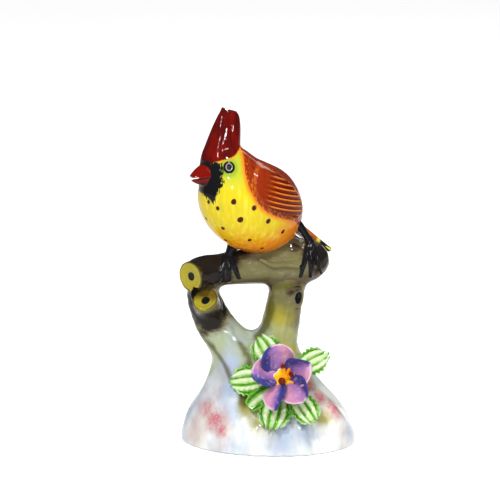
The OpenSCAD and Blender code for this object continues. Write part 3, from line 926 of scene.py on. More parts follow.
def bird_glaze(name, colours):
    """The bird's whole paint as one material."""
    g = Glaze(name, colours.breast)
    strokes = g.noise(0.3, (2.4, 2.4, 0.42), 4)
    fine = g.noise(1.3, (1.5, 1.5, 0.6), 3, 5)
    height = g.mark("height")
    g.lay(colours.breast_light, g.both(g.brushed(strokes, 0.0, 0.25, fine, 0.15), 0.7))
    g.lay(colours.lime, g.both(g.brushed(strokes, -0.02, -0.2, fine, 0.15), 0.6))
    g.lay(colours.breast_deep, g.brushed(height, -0.25, -0.75, strokes, 0.9))
    g.lay(colours.amber, g.brushed(height, -0.55, -0.95, strokes, 0.9))
    g.lay(colours.russet, g.brushed(height, -0.88, -1.04, strokes, 0.4))
    g.lay(colours.lime, g.brushed(height, 0.3, 0.9, strokes, 0.5))
    flank = g.both(g.mark("flank"), -1.0)
    g.lay(colours.amber, g.both(g.brushed(flank, 0.1, 0.6, strokes, 0.8), 0.6))
    g.lay(colours.blush, g.brushed(flank, 0.25, 0.75, strokes, 0.6))
    g.lay(colours.amber, g.brushed(g.mark("forward"), -1, -12, strokes, 5))
    g.lay(colours.spot, g.brushed(g.mark("spot"), -0.1, 0.12, fine, 0.3))
    # the back, its streaks and the orange threads along its edge
    back = g.mark("back")
    g.lay(colours.amber, g.brushed(back, -1.6, 0.2, strokes, 1.8))
    inside = g.brushed(back, -0.1, 0.5, fine, 1.2)
    g.lay(colours.russet, inside)
    streaks = g.step(g.noise(0.8, (1.2, 1.2, 0.22), 2, 9), 0.0, 0.16)
    g.lay(colours.russet_dark, g.both(streaks, g.step(back, 1.0, 3.5)))
    threads = g.step(g.noise(0.9, (1.3, 1.3, 0.25), 1, 4), 0.05, 0.14)
    near_edge = g.both(g.step(back, 2.8, 1.0), 0.65)
    g.lay(colours.amber, g.both(threads, g.both(near_edge, inside)))
    # the wing: dark at its shoulder, with a bright line along each feather
    wing = g.mark("wing")
    on_wing = g.step(wing, -0.1, 0.25)
    g.lay(colours.russet, on_wing)
    g.lay(colours.russet_dark, g.both(g.brushed(g.mark("forward"), 11, 0, strokes, 9), on_wing))
    wave = g.math(g.math(g.mark("feather"), g.both(fine, 0.16)), 1.0, "FRACT")
    line = g.both(g.step(wave, 0.5, 0.8), g.step(wave, 0.98, 0.84))
    rear = g.both(g.brushed(g.mark("forward"), 8.5, 2.5, strokes, 6), g.step(wing, 0.7, 1.5))
    g.lay(colours.feather, g.both(line, rear))
    shade = g.both(g.step(wave, 0.42, 0.2), g.step(wave, -0.05, 0.1))
    g.lay(colours.russet_dark, g.both(g.both(shade, rear), 0.9))
    rim = g.both(g.step(wing, 1.1, 0.6), g.step(wing, -0.2, 0.3))
    g.lay(colours.amber, g.both(g.both(rim, g.step(fine, -0.1, 0.12)), 0.4))
    g.lay(colours.blush, g.both(g.step(g.mark("forward"), -10.4, -11.6), on_wing))
    # tail
    tail = g.step(g.mark("tail"), -0.2, 0.1)
    g.lay(colours.tail, tail)
    end = g.both(g.brushed(g.mark("tail_out"), 12.6, 13.4, fine, 1.5), tail)
    g.lay(colours.breast_light, end)
    bars = g.step(g.math(g.both(g.mark("tail_side"), 0.42), 1.0, "FRACT"), 0.5, 0.62)
    g.lay(colours.black, g.both(bars, g.both(end, g.step(g.mark("tail_out"), 14.0, 14.8))))
    # head: green cheek, red cap and crest, black bib and eye
    cap = g.mark("cap")
    eye = g.mark("eye")
    cheek = g.both(g.step(eye, 5.2, 2.6), g.step(cap, 0.2, -0.4))
    g.lay(colours.lime, g.both(cheek, g.step(back, 0.5, -0.3)))
    green = g.both(g.brushed(eye, 3.6, 2.4, strokes, 1.5), g.step(back, 0.3, -0.3))
    g.lay(colours.green, g.both(green, 0.75))
    g.lay(colours.amber, g.both(g.brushed(cap, -0.9, 0.1, fine, 1.0), 0.7))
    on_cap = g.brushed(cap, -0.1, 0.25, fine, 0.8)
    g.lay(colours.crimson, on_cap)
    dabs = g.step(g.noise(0.3, (1.4, 1.4, 0.35), 3, 7), -0.16, 0.18)
    g.lay(colours.maroon, g.both(dabs, on_cap))
    g.lay(colours.maroon, g.both(g.both(g.brushed(flank, -0.3, 0.4, strokes, 0.8), on_cap), 0.85))
    g.lay(colours.cream, g.step(g.mark("crest_tip"), 0.5, 0.9))
    g.lay(colours.black, g.brushed(g.mark("bib"), -0.25, 0.25, g.noise(1.2, (1.8, 1.8, 0.3), 2, 1), 3.2))
    g.lay(colours.black, g.step(eye, 2.05, 1.85))
    ring = g.both(g.step(eye, 1.32, 1.24), g.step(eye, 1.1, 1.18))
    g.lay(colours.cream, g.both(ring, 0.42))
    beak = g.step(g.mark("beak"), -0.15, 0.1)
    g.lay(colours.crimson, beak)
    mouth = g.mark("mouth")
    g.lay(colours.maroon, g.both(g.brushed(mouth, -0.2, -2.4, fine, 0.6), beak))
    g.lay(colours.black, g.both(g.step(g.math(mouth, 0.0, "ABSOLUTE"), 0.22, 0.1), beak))
    # painted highlight: a cream streak on the upper beak just above the mouth line
    streak = g.both(g.step(mouth, 0.3, 0.45), g.step(mouth, 0.8, 0.6))
    g.lay(colours.cream, g.both(g.both(g.brushed(g.mark("beak_tip"), 4.2, 4.8, fine, 0.5), streak), beak))
    g.lay(colours.cream, g.both(g.brushed(g.mark("beak_tip"), 6.0, 6.5, fine, 0.5), beak))
    g.lay(colours.black, g.step(g.mark("toe"), -0.15, 0.1))
    return g.fire(0.34, 0.42)


def tree_glaze(name, colours):
    """Bark that runs from near black through olive to the pale, tinted porcelain of the mound."""
    g = Glaze(name, colours.olive)
    wash = g.noise(0.16, (1, 1, 0.8), 3)
    streaks = g.noise(0.5, (0.5, 1.6, 1.6), 4, 2)
    sponge = g.noise(0.9, detail=4, offset=6)
    g.lay(colours.bark_grey, g.both(g.brushed(streaks, -0.05, 0.3, wash, 0.6), 0.7))
    g.lay(colours.bark_brown, g.brushed(wash, 0.05, 0.3, streaks, 0.6))
    pale = g.brushed(g.mark("pale"), 0.1, 0.95, wash, 0.7)
    g.lay(colours.porcelain_green, g.step(pale, 0.0, 0.6))
    g.lay(colours.moss, g.both(g.brushed(g.mark("moss"), 0.15, 0.9, wash, 0.5), 0.8))
    drift = g.noise(0.1, (1, 1, 0.45), 4, 8)
    g.lay(colours.porcelain, g.brushed(g.mark("white"), 0.15, 0.75, drift, 1.3))
    g.lay(colours.mist, g.both(g.brushed(drift, -0.12, 0.22, wash, 0.4), g.both(pale, 0.7)))
    g.lay(colours.mist, g.brushed(g.mark("blue"), 0.1, 1.1, wash, 0.9))
    g.lay(colours.moss, g.both(g.brushed(g.mark("moss"), 0.25, 1.05, wash, 1.5), 0.85))
    g.lay(colours.blush, g.both(g.brushed(g.mark("beige"), 0.1, 1.0, wash, 1.5), 0.5))
    g.lay(colours.blush, g.both(g.brushed(g.mark("pink"), 0.1, 1.0, wash, 1.2), 0.75))
    g.lay(colours.rose, g.both(g.brushed(g.mark("pink"), 0.6, 1.2, sponge, 1.6), 0.8))
    # painted shade: dark olive laid where the shade mark says
    g.lay(colours.shade_olive, g.both(g.brushed(g.mark("shade"), 0.25, 0.95, wash, 1.4), 0.9))
    # painted highlight: pale glaze colour laid along the ridges of the perch and the right stem
    g.lay(colours.porcelain_green, g.both(g.brushed(g.mark("vein"), -0.25, 0.15, streaks, 0.5), 0.8))
    # painted shade in brown on the perch's upper and lower flanks
    rim = g.brushed(g.mark("rim_dark"), 0.25, 0.9, streaks, 0.8)
    g.lay(colours.bark_brown, g.both(rim, 0.85))
    char = g.mark("char")
    g.lay(colours.bark_brown, g.both(g.brushed(char, 0.2, 0.5, streaks, 0.7), 0.8))
    g.lay(colours.bark_black, g.brushed(char, 0.38, 0.72, streaks, 0.7))
    # sawn faces
    cut = g.step(g.mark("cut"), -0.1, 0.3)
    g.lay(colours.sawn, cut)
    # painted shade in brown across one side of each sawn face, and painted light on the stub's lower lip
    g.lay(colours.sawn_brown, g.both(g.brushed(g.mark("cut_shade"), -0.25, 0.3, wash, 0.5), cut))
    g.lay(colours.sawn_painted_light, g.both(g.brushed(g.mark("cut_shade"), -0.55, -0.8, sponge, 0.5), cut))
    g.lay(colours.bark_black, g.both(g.step(g.mark("cut"), 0.5, 0.15), cut))
    g.lay(colours.black, g.step(g.mark("pith"), -0.1, 0.15))
    g.lay(colours.black, g.step(g.mark("knot"), 0.05, 0.3))
    g.lay(colours.black, g.step(g.mark("toe"), -0.15, 0.1))
    # painted shadow: a grey line along the unglazed foot where the mound meets the floor
    g.lay(colours.painted_contact_shadow, g.brushed(g.mark("height"), 0.55, 0.25, sponge, 0.3))
    return g.fire(0.3, 0.3)


def petal_glaze(name, colours):
    """Petals washed from pink into deep blue, with a pale rim."""
    g = Glaze(name, colours.petal_pink)
    wash = g.noise(0.2, detail=3)
    fine = g.noise(0.8, detail=3, offset=4)
    across = g.mark("across")
    g.lay(colours.petal_mauve, g.brushed(across, -0.7, 0.1, wash, 1.2))
    g.lay(colours.petal_blue, g.brushed(across, 0.0, 0.7, wash, 1.3))
    g.lay(colours.petal_mauve, g.both(g.brushed(g.mark("along"), 0.3, 0.0, wash, 0.3), 0.7))
    g.lay(colours.petal_light, g.both(g.step(fine, 0.02, 0.25), 0.3))
    rim = g.both(g.brushed(g.mark("rim"), 0.92, 0.99, fine, 0.12), g.step(across, 0.9, -0.2))
    g.lay(colours.petal_light, g.both(rim, 0.85))
    g.lay(colours.petal_blue, g.both(g.brushed(g.mark("rim"), 0.8, 0.97, wash, 0.3),
                                     g.step(across, 0.1, 0.8)))
    return g.fire(0.15)


def leaf_glaze(name, colours):
    """Leaves with pale ribs between brush strokes of bright green."""
    g = Glaze(name, colours.leaf_pale)
    wash = g.noise(0.25, detail=3)
    fine = g.noise(0.9, detail=3, offset=4)
    rib = g.mark("rib")
    patch = g.brushed(wash, -0.3, 0.06, fine, 0.6)
    g.lay(colours.leaf_green, g.both(g.brushed(rib, 0.9, -0.2, fine, 1.6), patch))
    g.lay(colours.leaf_green, g.both(g.brushed(rib, -0.2, -0.9, fine, 0.9), 0.8))
    g.lay(colours.leaf_dark, g.both(g.brushed(rib, -0.4, -0.95, fine, 0.9), patch))
    g.lay(colours.leaf_green, g.brushed(g.mark("rim"), 0.86, 1.02, fine, 0.4))
    g.lay(colours.porcelain, g.both(g.brushed(rib, 0.6, 1.0, fine, 1.4), 0.4))
    return g.fire(0.2)


def stamen_glaze(name, colours):
    """Golden stamens with dark red tips."""
    g = Glaze(name, colours.gold)
    fine = g.noise(0.8, detail=3)
    g.lay(colours.gold_deep, g.brushed(g.mark("along"), 0.1, 0.8, fine, 0.8))
    g.lay(colours.stamen_tip, g.brushed(g.mark("tip"), 0.35, 0.6, fine, 0.3))
    g.lay(colours.porcelain, g.step(g.mark("frill"), 0.3, 0.6))
    return g.fire(0.15)


# ---- flower and leaves ---------------------------------------------------------------------------

def rolled_sheet(spine, rows=30, half=11):
    """A closed thin sheet of clay. `spine(u, v)` gives its middle and its thickness."""
    u = np.linspace(0, 1, rows)
    v = np.sin(np.linspace(-math.pi / 2, math.pi / 2, half))
    ring_v = np.concatenate([v, v[::-1]])
    side = np.concatenate([np.ones(half), -np.ones(half)])
    ring_u, ring_s = np.meshgrid(u, np.arange(2 * half), indexing="ij")
    vv = ring_v[ring_s]
    at, thick = spine(ring_u.ravel(), vv.ravel())
    at = at.reshape(rows, 2 * half, 3)
    du = np.gradient(at, axis=0)
    plain = np.array([spine(np.full(half, t), v)[0] for t in u])
    dv = np.gradient(plain, axis=1)
    dv = np.concatenate([dv, dv[:, ::-1]], axis=1)
    normal = np.cross(du, dv)
    normal /= np.maximum(np.linalg.norm(normal, axis=2, keepdims=True), 1e-9)
    puff = np.sqrt(np.maximum(1 - vv ** 2, 0.0)) * 0.65 + 0.35
    lift = (side[None, :] * puff * thick.reshape(rows, -1) / 2)[:, :, None]
    points = (at + normal * lift).reshape(-1, 3)
    n = 2 * half
    faces = [(i * n + j, i * n + (j + 1) % n, (i + 1) * n + (j + 1) % n, (i + 1) * n + j)
             for i in range(rows - 1) for j in range(n)]
    for i in (0, rows - 1):
        strip = [(i * n + j, i * n + j + 1, i * n + n - 2 - j, i * n + n - 1 - j) for j in range(half - 1)]
        faces += [f[::-1] for f in strip] if i == 0 else strip
    return points, faces, ring_u.ravel(), vv.ravel()


PETAL_SHAPE = [(0, 0.3), (0.12, 0.56), (0.28, 0.84), (0.45, 0.98), (0.62, 1), (0.78, 0.93), (0.9, 0.76),
               (0.97, 0.55), (1, 0.36)]
# angle on the flower's face, length, width, lift, cup, twist, height of its root
PETALS = [(27, 9.6, 10.0, 36, 0.5, 10, 1.1), (110, 9.9, 11.2, 26, 0.36, 4, 0.8),
          (178, 9.6, 9.8, 28, 0.44, 14, 1.3),
          (263, 10.6, 6.8, 26, 0.5, 26, 2.0), (318, 9.8, 9.8, 26, 0.46, 10, 1.6)]
LEAF_SHAPE = [(0, 0.3), (0.15, 0.52), (0.33, 0.78), (0.52, 0.95), (0.7, 1), (0.84, 0.93), (0.94, 0.78),
              (1, 0.6)]
# angle on the flower's face, distance of its root, lift, length, width, turn about its own length
LEAVES = [(120, 4.6, 2, 10.6, 10, 0), (28, 4.8, 6, 11.6, 8.8, -12), (184, 4.4, -2, 12.2, 10, 10),
          (221, 4.2, 8, 10.6, 5.6, 0), (257, 4.2, 12, 13.0, 10.4, 0), (305, 4.4, 10, 13.4, 8.8, -10)]
BUD = 3


def turned(points, angle, axis):
    """Points turned about an axis of their own frame, angle in degrees."""
    return points @ np.array(Matrix.Rotation(math.radians(angle), 3, axis)).T


def petal(index, settings, material):
    """One petal, cupped, with its rim rolled over."""
    angle, size, width, lift, cup, twist, root = PETALS[index]
    thick = settings.petal_thickness / MM

    def spine(u, v):
        half = width / 2 * np.interp(u, *np.array(curve(PETAL_SHAPE, 4)).T)
        wave = (0.45 * np.sin(2.6 * v + 5 * u + 1.7 * index) + 0.25 * np.sin(5 * v - 3 * u + index)) * u
        roll = -0.9 * ease(u, 0.72, 1.0) ** 2 * size * 0.16
        x = size * u
        z = 0.08 * size * u * u + cup * half * v * v * (0.5 + u) + wave + roll
        rim = 1 + 0.55 * ease(np.maximum(np.abs(v), u), 0.86, 0.97)
        return np.stack([x, half * v, z], 1), thick * (1.15 - 0.45 * u) * rim

    points, faces, u, v = rolled_sheet(spine, 34, 14)
    points = turned(turned(points, -lift, "Y"), twist, "X") + (1.5, 0, root)
    points = FLOWER.world(turned(points, angle, "Z"))
    marks = {"along": u, "across": v, "rim": np.maximum(np.abs(v), u)}
    name = f"petal_{index + 1}"
    return add_piece(name, name, material, points, faces, None, marks)


def leaf(index, settings, material):
    """One leaf: a fan of ribs that ends in teeth, or a furled bud leaf."""
    angle, root, lift, size, width, lean = LEAVES[index]
    bud = index == BUD
    thick = settings.leaf_thickness / MM
    ribs = 1.5 if bud else settings.leaf_ribs

    def spine(u, v):
        rib = np.cos(math.pi * ribs * v * (0.75 + 0.25 * u))
        tooth = 0 if bud else 0.17 * (np.abs((u * 6.5) % 1 - 0.5) * 2 - 0.5) * np.abs(v) ** 3
        half = width / 2 * np.interp(u, *np.array(curve(LEAF_SHAPE, 4)).T) * (1 + tooth)
        deep = 0.12 if bud else 0.55 * ease(u, 0.05, 0.6)
        fan = 0 if bud else (0.1 * rib + 0.04 * np.sin(9 * v + index)) * u ** 3 - 0.16 * v * v * u ** 2
        x = size * u * (1 + fan)
        fold = 0.5 * half * np.abs(v) ** 1.6 if bud else 0.16 * half * np.abs(v)
        wave = 0 if bud else 0.35 * np.sin(3.1 * u + index) * v
        relief_line = fold + deep * rib + wave - 0.05 * size * u * u
        return np.stack([x, half * v, relief_line], 1), thick * (1.2 - 0.4 * u)

    points, faces, u, v = rolled_sheet(spine, 44, 22)
    rib = np.cos(math.pi * ribs * v * (0.75 + 0.25 * u))
    points = turned(turned(points, lean, "X"), -lift, "Y") + (root, 0, -1.4)
    points = FLOWER.world(turned(points, angle, "Z"))
    marks = {"along": u, "across": v, "rim": np.maximum(np.abs(v), u), "rib": rib}
    name = f"leaf_{index + 1}"
    return add_piece(name, name, material, points, faces, None, marks)


# tip of each stamen on the flower's face and above it, and its thickness
STAMENS = [(5.4, 0.9, 3.4, 0.75), (3.0, 4.3, 3.8, 0.7), (0.0, 4.2, 4.2, 0.85), (-0.5, -1.7, 6.0, 1.25),
           (4.9, -2.3, 3.6, 0.7), (3.2, 1.0, 5.2, 0.9)]


def stamen(index, material):
    """One stamen: a bent tapered rod with a pointed tip."""
    x, y, z, thick = STAMENS[index]
    path = curve([(0.3 + 0.1 * x, -0.6 + 0.15 * y, 1.6), (0.4 + 0.45 * x, -0.5 + 0.5 * y, 0.35 + 0.62 * z),
                  (x, y, z)], 6)
    steps = np.linspace(0, 1, len(path))
    rows = [(f, 1.25 - 0.3 * f + 0.25 * math.exp(-((f - 0.84) / 0.12) ** 2)) for f in steps]
    rows[-1] = (1, 0.3)
    rows[-2] = (rows[-2][0], 0.85)
    sides = 14
    points, along = [], []
    for k, (f, swell) in enumerate(rows):
        ahead = unit(path[min(k + 1, len(path) - 1)] - path[max(k - 1, 0)])
        side = unit(np.cross(ahead, (0.2, 1, 0.1)))
        up = np.cross(side, ahead)
        for j in range(sides):
            a = 2 * math.pi * j / sides
            points.append(path[k] + 0.8 * thick * swell * (math.cos(a) * side + math.sin(a) * up))
            along.append(f)
    count = len(rows)
    faces = [(i * sides + j, (i + 1) * sides + j, (i + 1) * sides + (j + 1) % sides,
              i * sides + (j + 1) % sides)
             for i in range(count - 1) for j in range(sides)]
    faces += [tuple(range(sides)), tuple(range(count * sides - 1, (count - 1) * sides - 1, -1))]
    along = np.array(along)
    marks = {"along": along, "tip": ease(along, 0.55, 0.95), "frill": along * 0}
    name = f"stamen_{index + 1}"
    return add_piece(name, name, material, FLOWER.world(np.array(points)), faces, None, marks)


def domed(radii, lumps, rings=20, sides=36):
    """A closed lumpy dome around the flower's axis: points, faces, and how far out each point is."""
    points, out = [], []
    for i in range(1, rings):
        for j in range(sides):
            a, b = 2 * math.pi * j / sides, math.pi * i / rings
            size = 1 + lumps(a, b)
            points.append((radii[0] * size * math.sin(b) * math.cos(a),
                           radii[1] * size * math.sin(b) * math.sin(a),
                           radii[2] * size * math.cos(b)))
            out.append(math.sin(b) if b < math.pi / 2 else 1.0)
    points += [(0, 0, radii[2]), (0, 0, -radii[2])]
    out += [0, 1]
    top, bottom = len(points) - 2, len(points) - 1
    faces = [(i * sides + j, (i + 1) * sides + j, (i + 1) * sides + (j + 1) % sides,
              i * sides + (j + 1) % sides)
             for i in range(rings - 2) for j in range(sides)]
    faces += [(top, j, (j + 1) % sides) for j in range(sides)]
    last = (rings - 2) * sides
    faces += [(bottom, last + (j + 1) % sides, last + j) for j in range(sides)]
    return np.array(points), faces, np.array(out)


def flower_centre(material):
    """The flower's heart: a golden knob in a pale frilled cup."""
    def lumps(a, b):
        frill = math.exp(-((b - 1.25) / 0.28) ** 2)
        return frill * (0.34 + 0.1 * math.sin(7 * a)) + 0.05 * math.sin(5 * a) * math.sin(b)

    points, faces, out = domed((2.5, 2.5, 2.0), lumps)
    marks = {"along": 1 - out, "tip": out * 0, "frill": ease(out, 0.86, 0.95)}
    return add_piece("flower_centre", "flower_centre", material,
                     FLOWER.world(points + (0.2, -0.3, 1.5)), faces, None, marks)


def flower_pad(material):
    """The pad of clay that petals and leaves are pressed into."""
    def lumps(a, b):
        return 0.05 * math.sin(7 * a) * math.sin(b) ** 2 + 0.03 * math.sin(3 * a + 2 * b)

    points, faces, out = domed((6.0, 6.0, 4.1), lumps, 24, 48)
    marks = {"along": out, "across": out * 0, "rim": out * 0.9, "rib": -out}
    return add_piece("flower_pad", "flower_pad", material,
                     FLOWER.world(points + (0, 0, -2.6)), faces, None, marks)


# ---- settings ------------------------------------------------------------------------------------

def colour(name, text, value):
    """A paint in the palette."""
    return bpy.props.FloatVectorProperty(name=name, description=text, default=value, subtype="COLOR", size=3,
                                         min=0, max=1)


class SongbirdForm(bpy.types.PropertyGroup):
    """Sizes that a maker would change."""

    cell: bpy.props.FloatProperty(
        name="Mesh cell", description="Size of the mesh cells of the cast pieces", default=0.36 * MM,
        min=0.2 * MM, max=1 * MM, unit="LENGTH", precision=5)
    petal_thickness: bpy.props.FloatProperty(
        name="Petal thickness", description="Thickness of a rolled petal near its root", default=0.75 * MM,
        min=0.4 * MM, max=1.5 * MM, unit="LENGTH", precision=5)
    leaf_thickness: bpy.props.FloatProperty(
        name="Leaf thickness", description="Thickness of a pressed leaf near its root", default=0.8 * MM,
        min=0.4 * MM, max=1.5 * MM, unit="LENGTH", precision=5)
    leaf_ribs: bpy.props.FloatProperty(
        name="Leaf ribs", description="How many ribs a leaf has from its middle to its edge", default=4.0,
        min=1, max=8)


class SongbirdPaints(bpy.types.PropertyGroup):
    """The painter's palette."""

    breast: colour("Breast", "Clear yellow of the breast", (0.52, 0.4, 0.01))
    breast_light: colour("Breast light", "Pale yellow strokes", (0.62, 0.54, 0.06))
    breast_deep: colour("Breast deep", "Warm yellow under the breast", (0.58, 0.31, 0.006))
    lime: colour("Lime", "Greenish yellow of throat and cheeks", (0.34, 0.37, 0.025))
    green: colour("Green", "Green wash behind the eye", (0.17, 0.27, 0.015))
    amber: colour("Amber", "Orange brown washes", (0.56, 0.17, 0.01))
    blush: colour("Blush", "Pinkish grey shading", (0.4, 0.22, 0.19))
    russet: colour("Russet", "Red brown of back and wings", (0.2, 0.02, 0.004))
    russet_dark: colour("Dark russet", "Dark strokes on back and wings", (0.085, 0.005, 0.0015))
    feather: colour("Feather line", "Orange lines of the long feathers", (0.58, 0.16, 0.012))
    tail: colour("Tail", "Orange brown of the tail", (0.4, 0.09, 0.01))
    crimson: colour("Crimson", "Red of crest and beak", (0.13, 0.004, 0.002))
    maroon: colour("Maroon", "Dark red strokes", (0.055, 0.003, 0.003))
    spot: colour("Spots", "Dark spots of the breast", (0.045, 0.004, 0.004))
    black: colour("Black", "Bib, eyes, claws and pith", (0.006, 0.006, 0.007))
    # cream also paints the highlight streak on the upper beak
    cream: colour("Cream", "Bare china at beak tip and eye ring", (0.75, 0.7, 0.62))
    olive: colour("Olive", "Olive grey of the bark", (0.12, 0.108, 0.045))
    bark_grey: colour("Bark grey", "Light grey strokes of the bark", (0.2, 0.185, 0.105))
    bark_brown: colour("Bark brown", "Brown strokes of the bark", (0.07, 0.05, 0.025))
    bark_black: colour("Bark black", "Near black of the perch's ends", (0.012, 0.009, 0.007))
    # colour of the painted shade under the leaves, along the stems' edges and under the perch
    shade_olive: colour("Olive shade", "Dark olive in the folds", (0.075, 0.07, 0.012))
    moss: colour("Moss", "Yellow green on the roots", (0.28, 0.25, 0.02))
    porcelain_green: colour("Green china", "Pale green grey of the roots", (0.29, 0.33, 0.21))
    porcelain: colour("China", "White of the mound", (0.63, 0.64, 0.61))
    mist: colour("Mist", "Blue grey tint of the mound", (0.32, 0.38, 0.49))
    # colour of the painted shadow along the foot where the mound meets the floor
    painted_contact_shadow: colour("Foot line", "Grey line of the unglazed foot", (0.1, 0.09, 0.08))
    rose: colour("Rose", "Sponged pink of the mound", (0.42, 0.085, 0.14))
    sawn: colour("Sawn wood", "Yellow of the sawn faces", (0.28, 0.235, 0.02))
    # painted light on the lower lip of the sawn faces, and brown painted shade across them
    sawn_painted_light: colour("Sawn rim", "Bright rim of the sawn faces", (0.66, 0.58, 0.05))
    sawn_brown: colour("Sawn shade", "Brown shading of the sawn faces", (0.11, 0.07, 0.008))
    petal_pink: colour("Petal pink", "Pink side of a petal", (0.42, 0.19, 0.28))
    petal_mauve: colour("Petal mauve", "Mauve middle of a petal", (0.24, 0.11, 0.28))
    petal_blue: colour("Petal blue", "Deep blue side of a petal", (0.032, 0.034, 0.17))
    petal_light: colour("Petal rim", "Pale rim of a petal", (0.52, 0.4, 0.5))
    leaf_pale: colour("Leaf pale", "White green ribs", (0.48, 0.58, 0.32))
    leaf_green: colour("Leaf green", "Bright green strokes", (0.1, 0.32, 0.02))
    leaf_dark: colour("Leaf dark", "Dark green edges", (0.02, 0.1, 0.008))
    gold: colour("Gold", "Yellow of the stamens", (0.75, 0.42, 0.01))
    gold_deep: colour("Deep gold", "Orange of the stamens", (0.7, 0.22, 0.005))
    stamen_tip: colour("Stamen tip", "Dark red tips", (0.11, 0.01, 0.003))


class SongbirdStudio(bpy.types.PropertyGroup):
    """Camera and light."""

    distance: bpy.props.FloatProperty(
        name="Camera distance", description="From the camera to the figurine", default=0.9, min=0.3, max=3,
        unit="LENGTH")
    elevation: bpy.props.FloatProperty(
        name="Camera elevation", description="Angle of the camera above the horizon",
        default=math.radians(12),
        subtype="ANGLE")
    frame_width: bpy.props.FloatProperty(
        name="Frame width", description="Width of the view at the figurine", default=0.165, min=0.05, max=1,
        unit="LENGTH")
    floor: colour("Floor", "Pale floor", (0.45, 0.45, 0.45))
    soft_light: bpy.props.FloatProperty(
        name="Soft light", description="Strength of the light from all round", default=0.1, min=0, max=3)


# ---- operators -----------------------------------------------------------------------------------

def shared(name, build, context):
    """A painted glaze for a material slot, made on first use."""
    painted = f"painted_{name}"
    return bpy.data.materials.get(painted) or build(painted, context.scene.songbird_paints)


class SONGBIRD_OT_mound(bpy.types.Operator):
    """Model the mound with its ridges, flutes and vent hole"""

    bl_idname = "songbird.mound"
    bl_label = "Mound"

    def execute(self, context):
        Casting.get().part("mound_shell", "pastel_glaze", shared("pastel_glaze", tree_glaze, context),
                           tree_marks)
        return {"FINISHED"}


class SONGBIRD_OT_branches(bpy.types.Operator):
    """Model the two stems, the perch and the sawn stub"""

    bl_idname = "songbird.branches"
    bl_label = "Branches"

    def execute(self, context):
        bark = shared("bark_glaze", tree_glaze, context)
        for node in ("left_stem", "right_stem", "perch_branch", "sawn_stub"):
            Casting.get().part(node, "bark_glaze", bark, tree_marks)
        return {"FINISHED"}


class SONGBIRD_OT_bird(bpy.types.Operator):
    """Model the bird's body, crest and beak"""

    bl_idname = "songbird.bird"
    bl_label = "Body, crest and beak"

    def execute(self, context):
        for node, slot_name in (("bird_body", "breast_glaze"), ("crest", "crimson_glaze"),
                                ("upper_beak", "crimson_glaze"), ("lower_beak", "crimson_glaze")):
            Casting.get().part(node, slot_name, shared(slot_name, bird_glaze, context), bird_marks)
        return {"FINISHED"}


class SONGBIRD_OT_wings(bpy.types.Operator):
    """Model the folded wings and the tail"""

    bl_idname = "songbird.wings"
    bl_label = "Wings and tail"

    def execute(self, context):
        russet = shared("russet_glaze", bird_glaze, context)
        for node in ("left_wing", "right_wing", "tail"):
            Casting.get().part(node, "russet_glaze", russet, bird_marks)
        return {"FINISHED"}


class SONGBIRD_OT_feet(bpy.types.Operator):
    """Model the legs and toes that grip the perch"""

    bl_idname = "songbird.feet"
    bl_label = "Feet"

    def execute(self, context):
        black = shared("black_glaze", tree_glaze, context)
        for node in ("left_foot", "right_foot"):
            Casting.get().part(node, "black_glaze", black, tree_marks)
        return {"FINISHED"}


class SONGBIRD_OT_flower(bpy.types.Operator):
    """Roll the petals and set them with the stamens into the pad"""

    bl_idname = "songbird.flower"
    bl_label = "Flower"

    def execute(self, context):
        form = context.scene.songbird_form
        gold = shared("stamen_glaze", stamen_glaze, context)
        flower_pad(shared("leaf_glaze", leaf_glaze, context))
        flower_centre(gold)
        for index in range(len(PETALS)):
            petal(index, form, shared("petal_glaze", petal_glaze, context))
        for index in range(len(STAMENS)):
            stamen(index, gold)
        return {"FINISHED"}


class SONGBIRD_OT_leaves(bpy.types.Operator):
    """Press the leaves around the flower"""

    bl_idname = "songbird.leaves"
    bl_label = "Leaves"

    def execute(self, context):
        for index in range(len(LEAVES)):
            leaf(index, context.scene.songbird_form, shared("leaf_glaze", leaf_glaze, context))
        return {"FINISHED"}


# Name, place and size in metres, power in watts
LAMPS = [
    ("key", (-0.3, -0.62, 0.72), (0.06, 0.08), 6.6),
    ("key_low", (-0.12, -0.78, 0.5), (0.03, 0.05), 2.2),
    ("fill", (0.5, -0.66, 0.42), (0.035, 0.08), 2.4),
    ("top", (0.12, -0.1, 0.95), (0.08, 0.07), 3.6),
    ("top_front", (0.22, -0.5, 0.82), (0.03, 0.04), 2.0),
    ("back", (0.4, 0.7, 0.7), (0.3, 0.3), 1.4),
]


def add_lamp(name, place, target, size, power):
    """A soft rectangular lamp that looks at the target. Places in metres."""
    data = bpy.data.lights.new(name, "AREA")
    data.shape = "RECTANGLE"
    data.size, data.size_y = size
    data.energy = power
    lamp = bpy.data.objects.new(name, data)
    lamp.location = place
    lamp.rotation_euler = (Vector(target) - Vector(place)).to_track_quat("-Z", "Y").to_euler()
    bpy.context.scene.collection.objects.link(lamp)


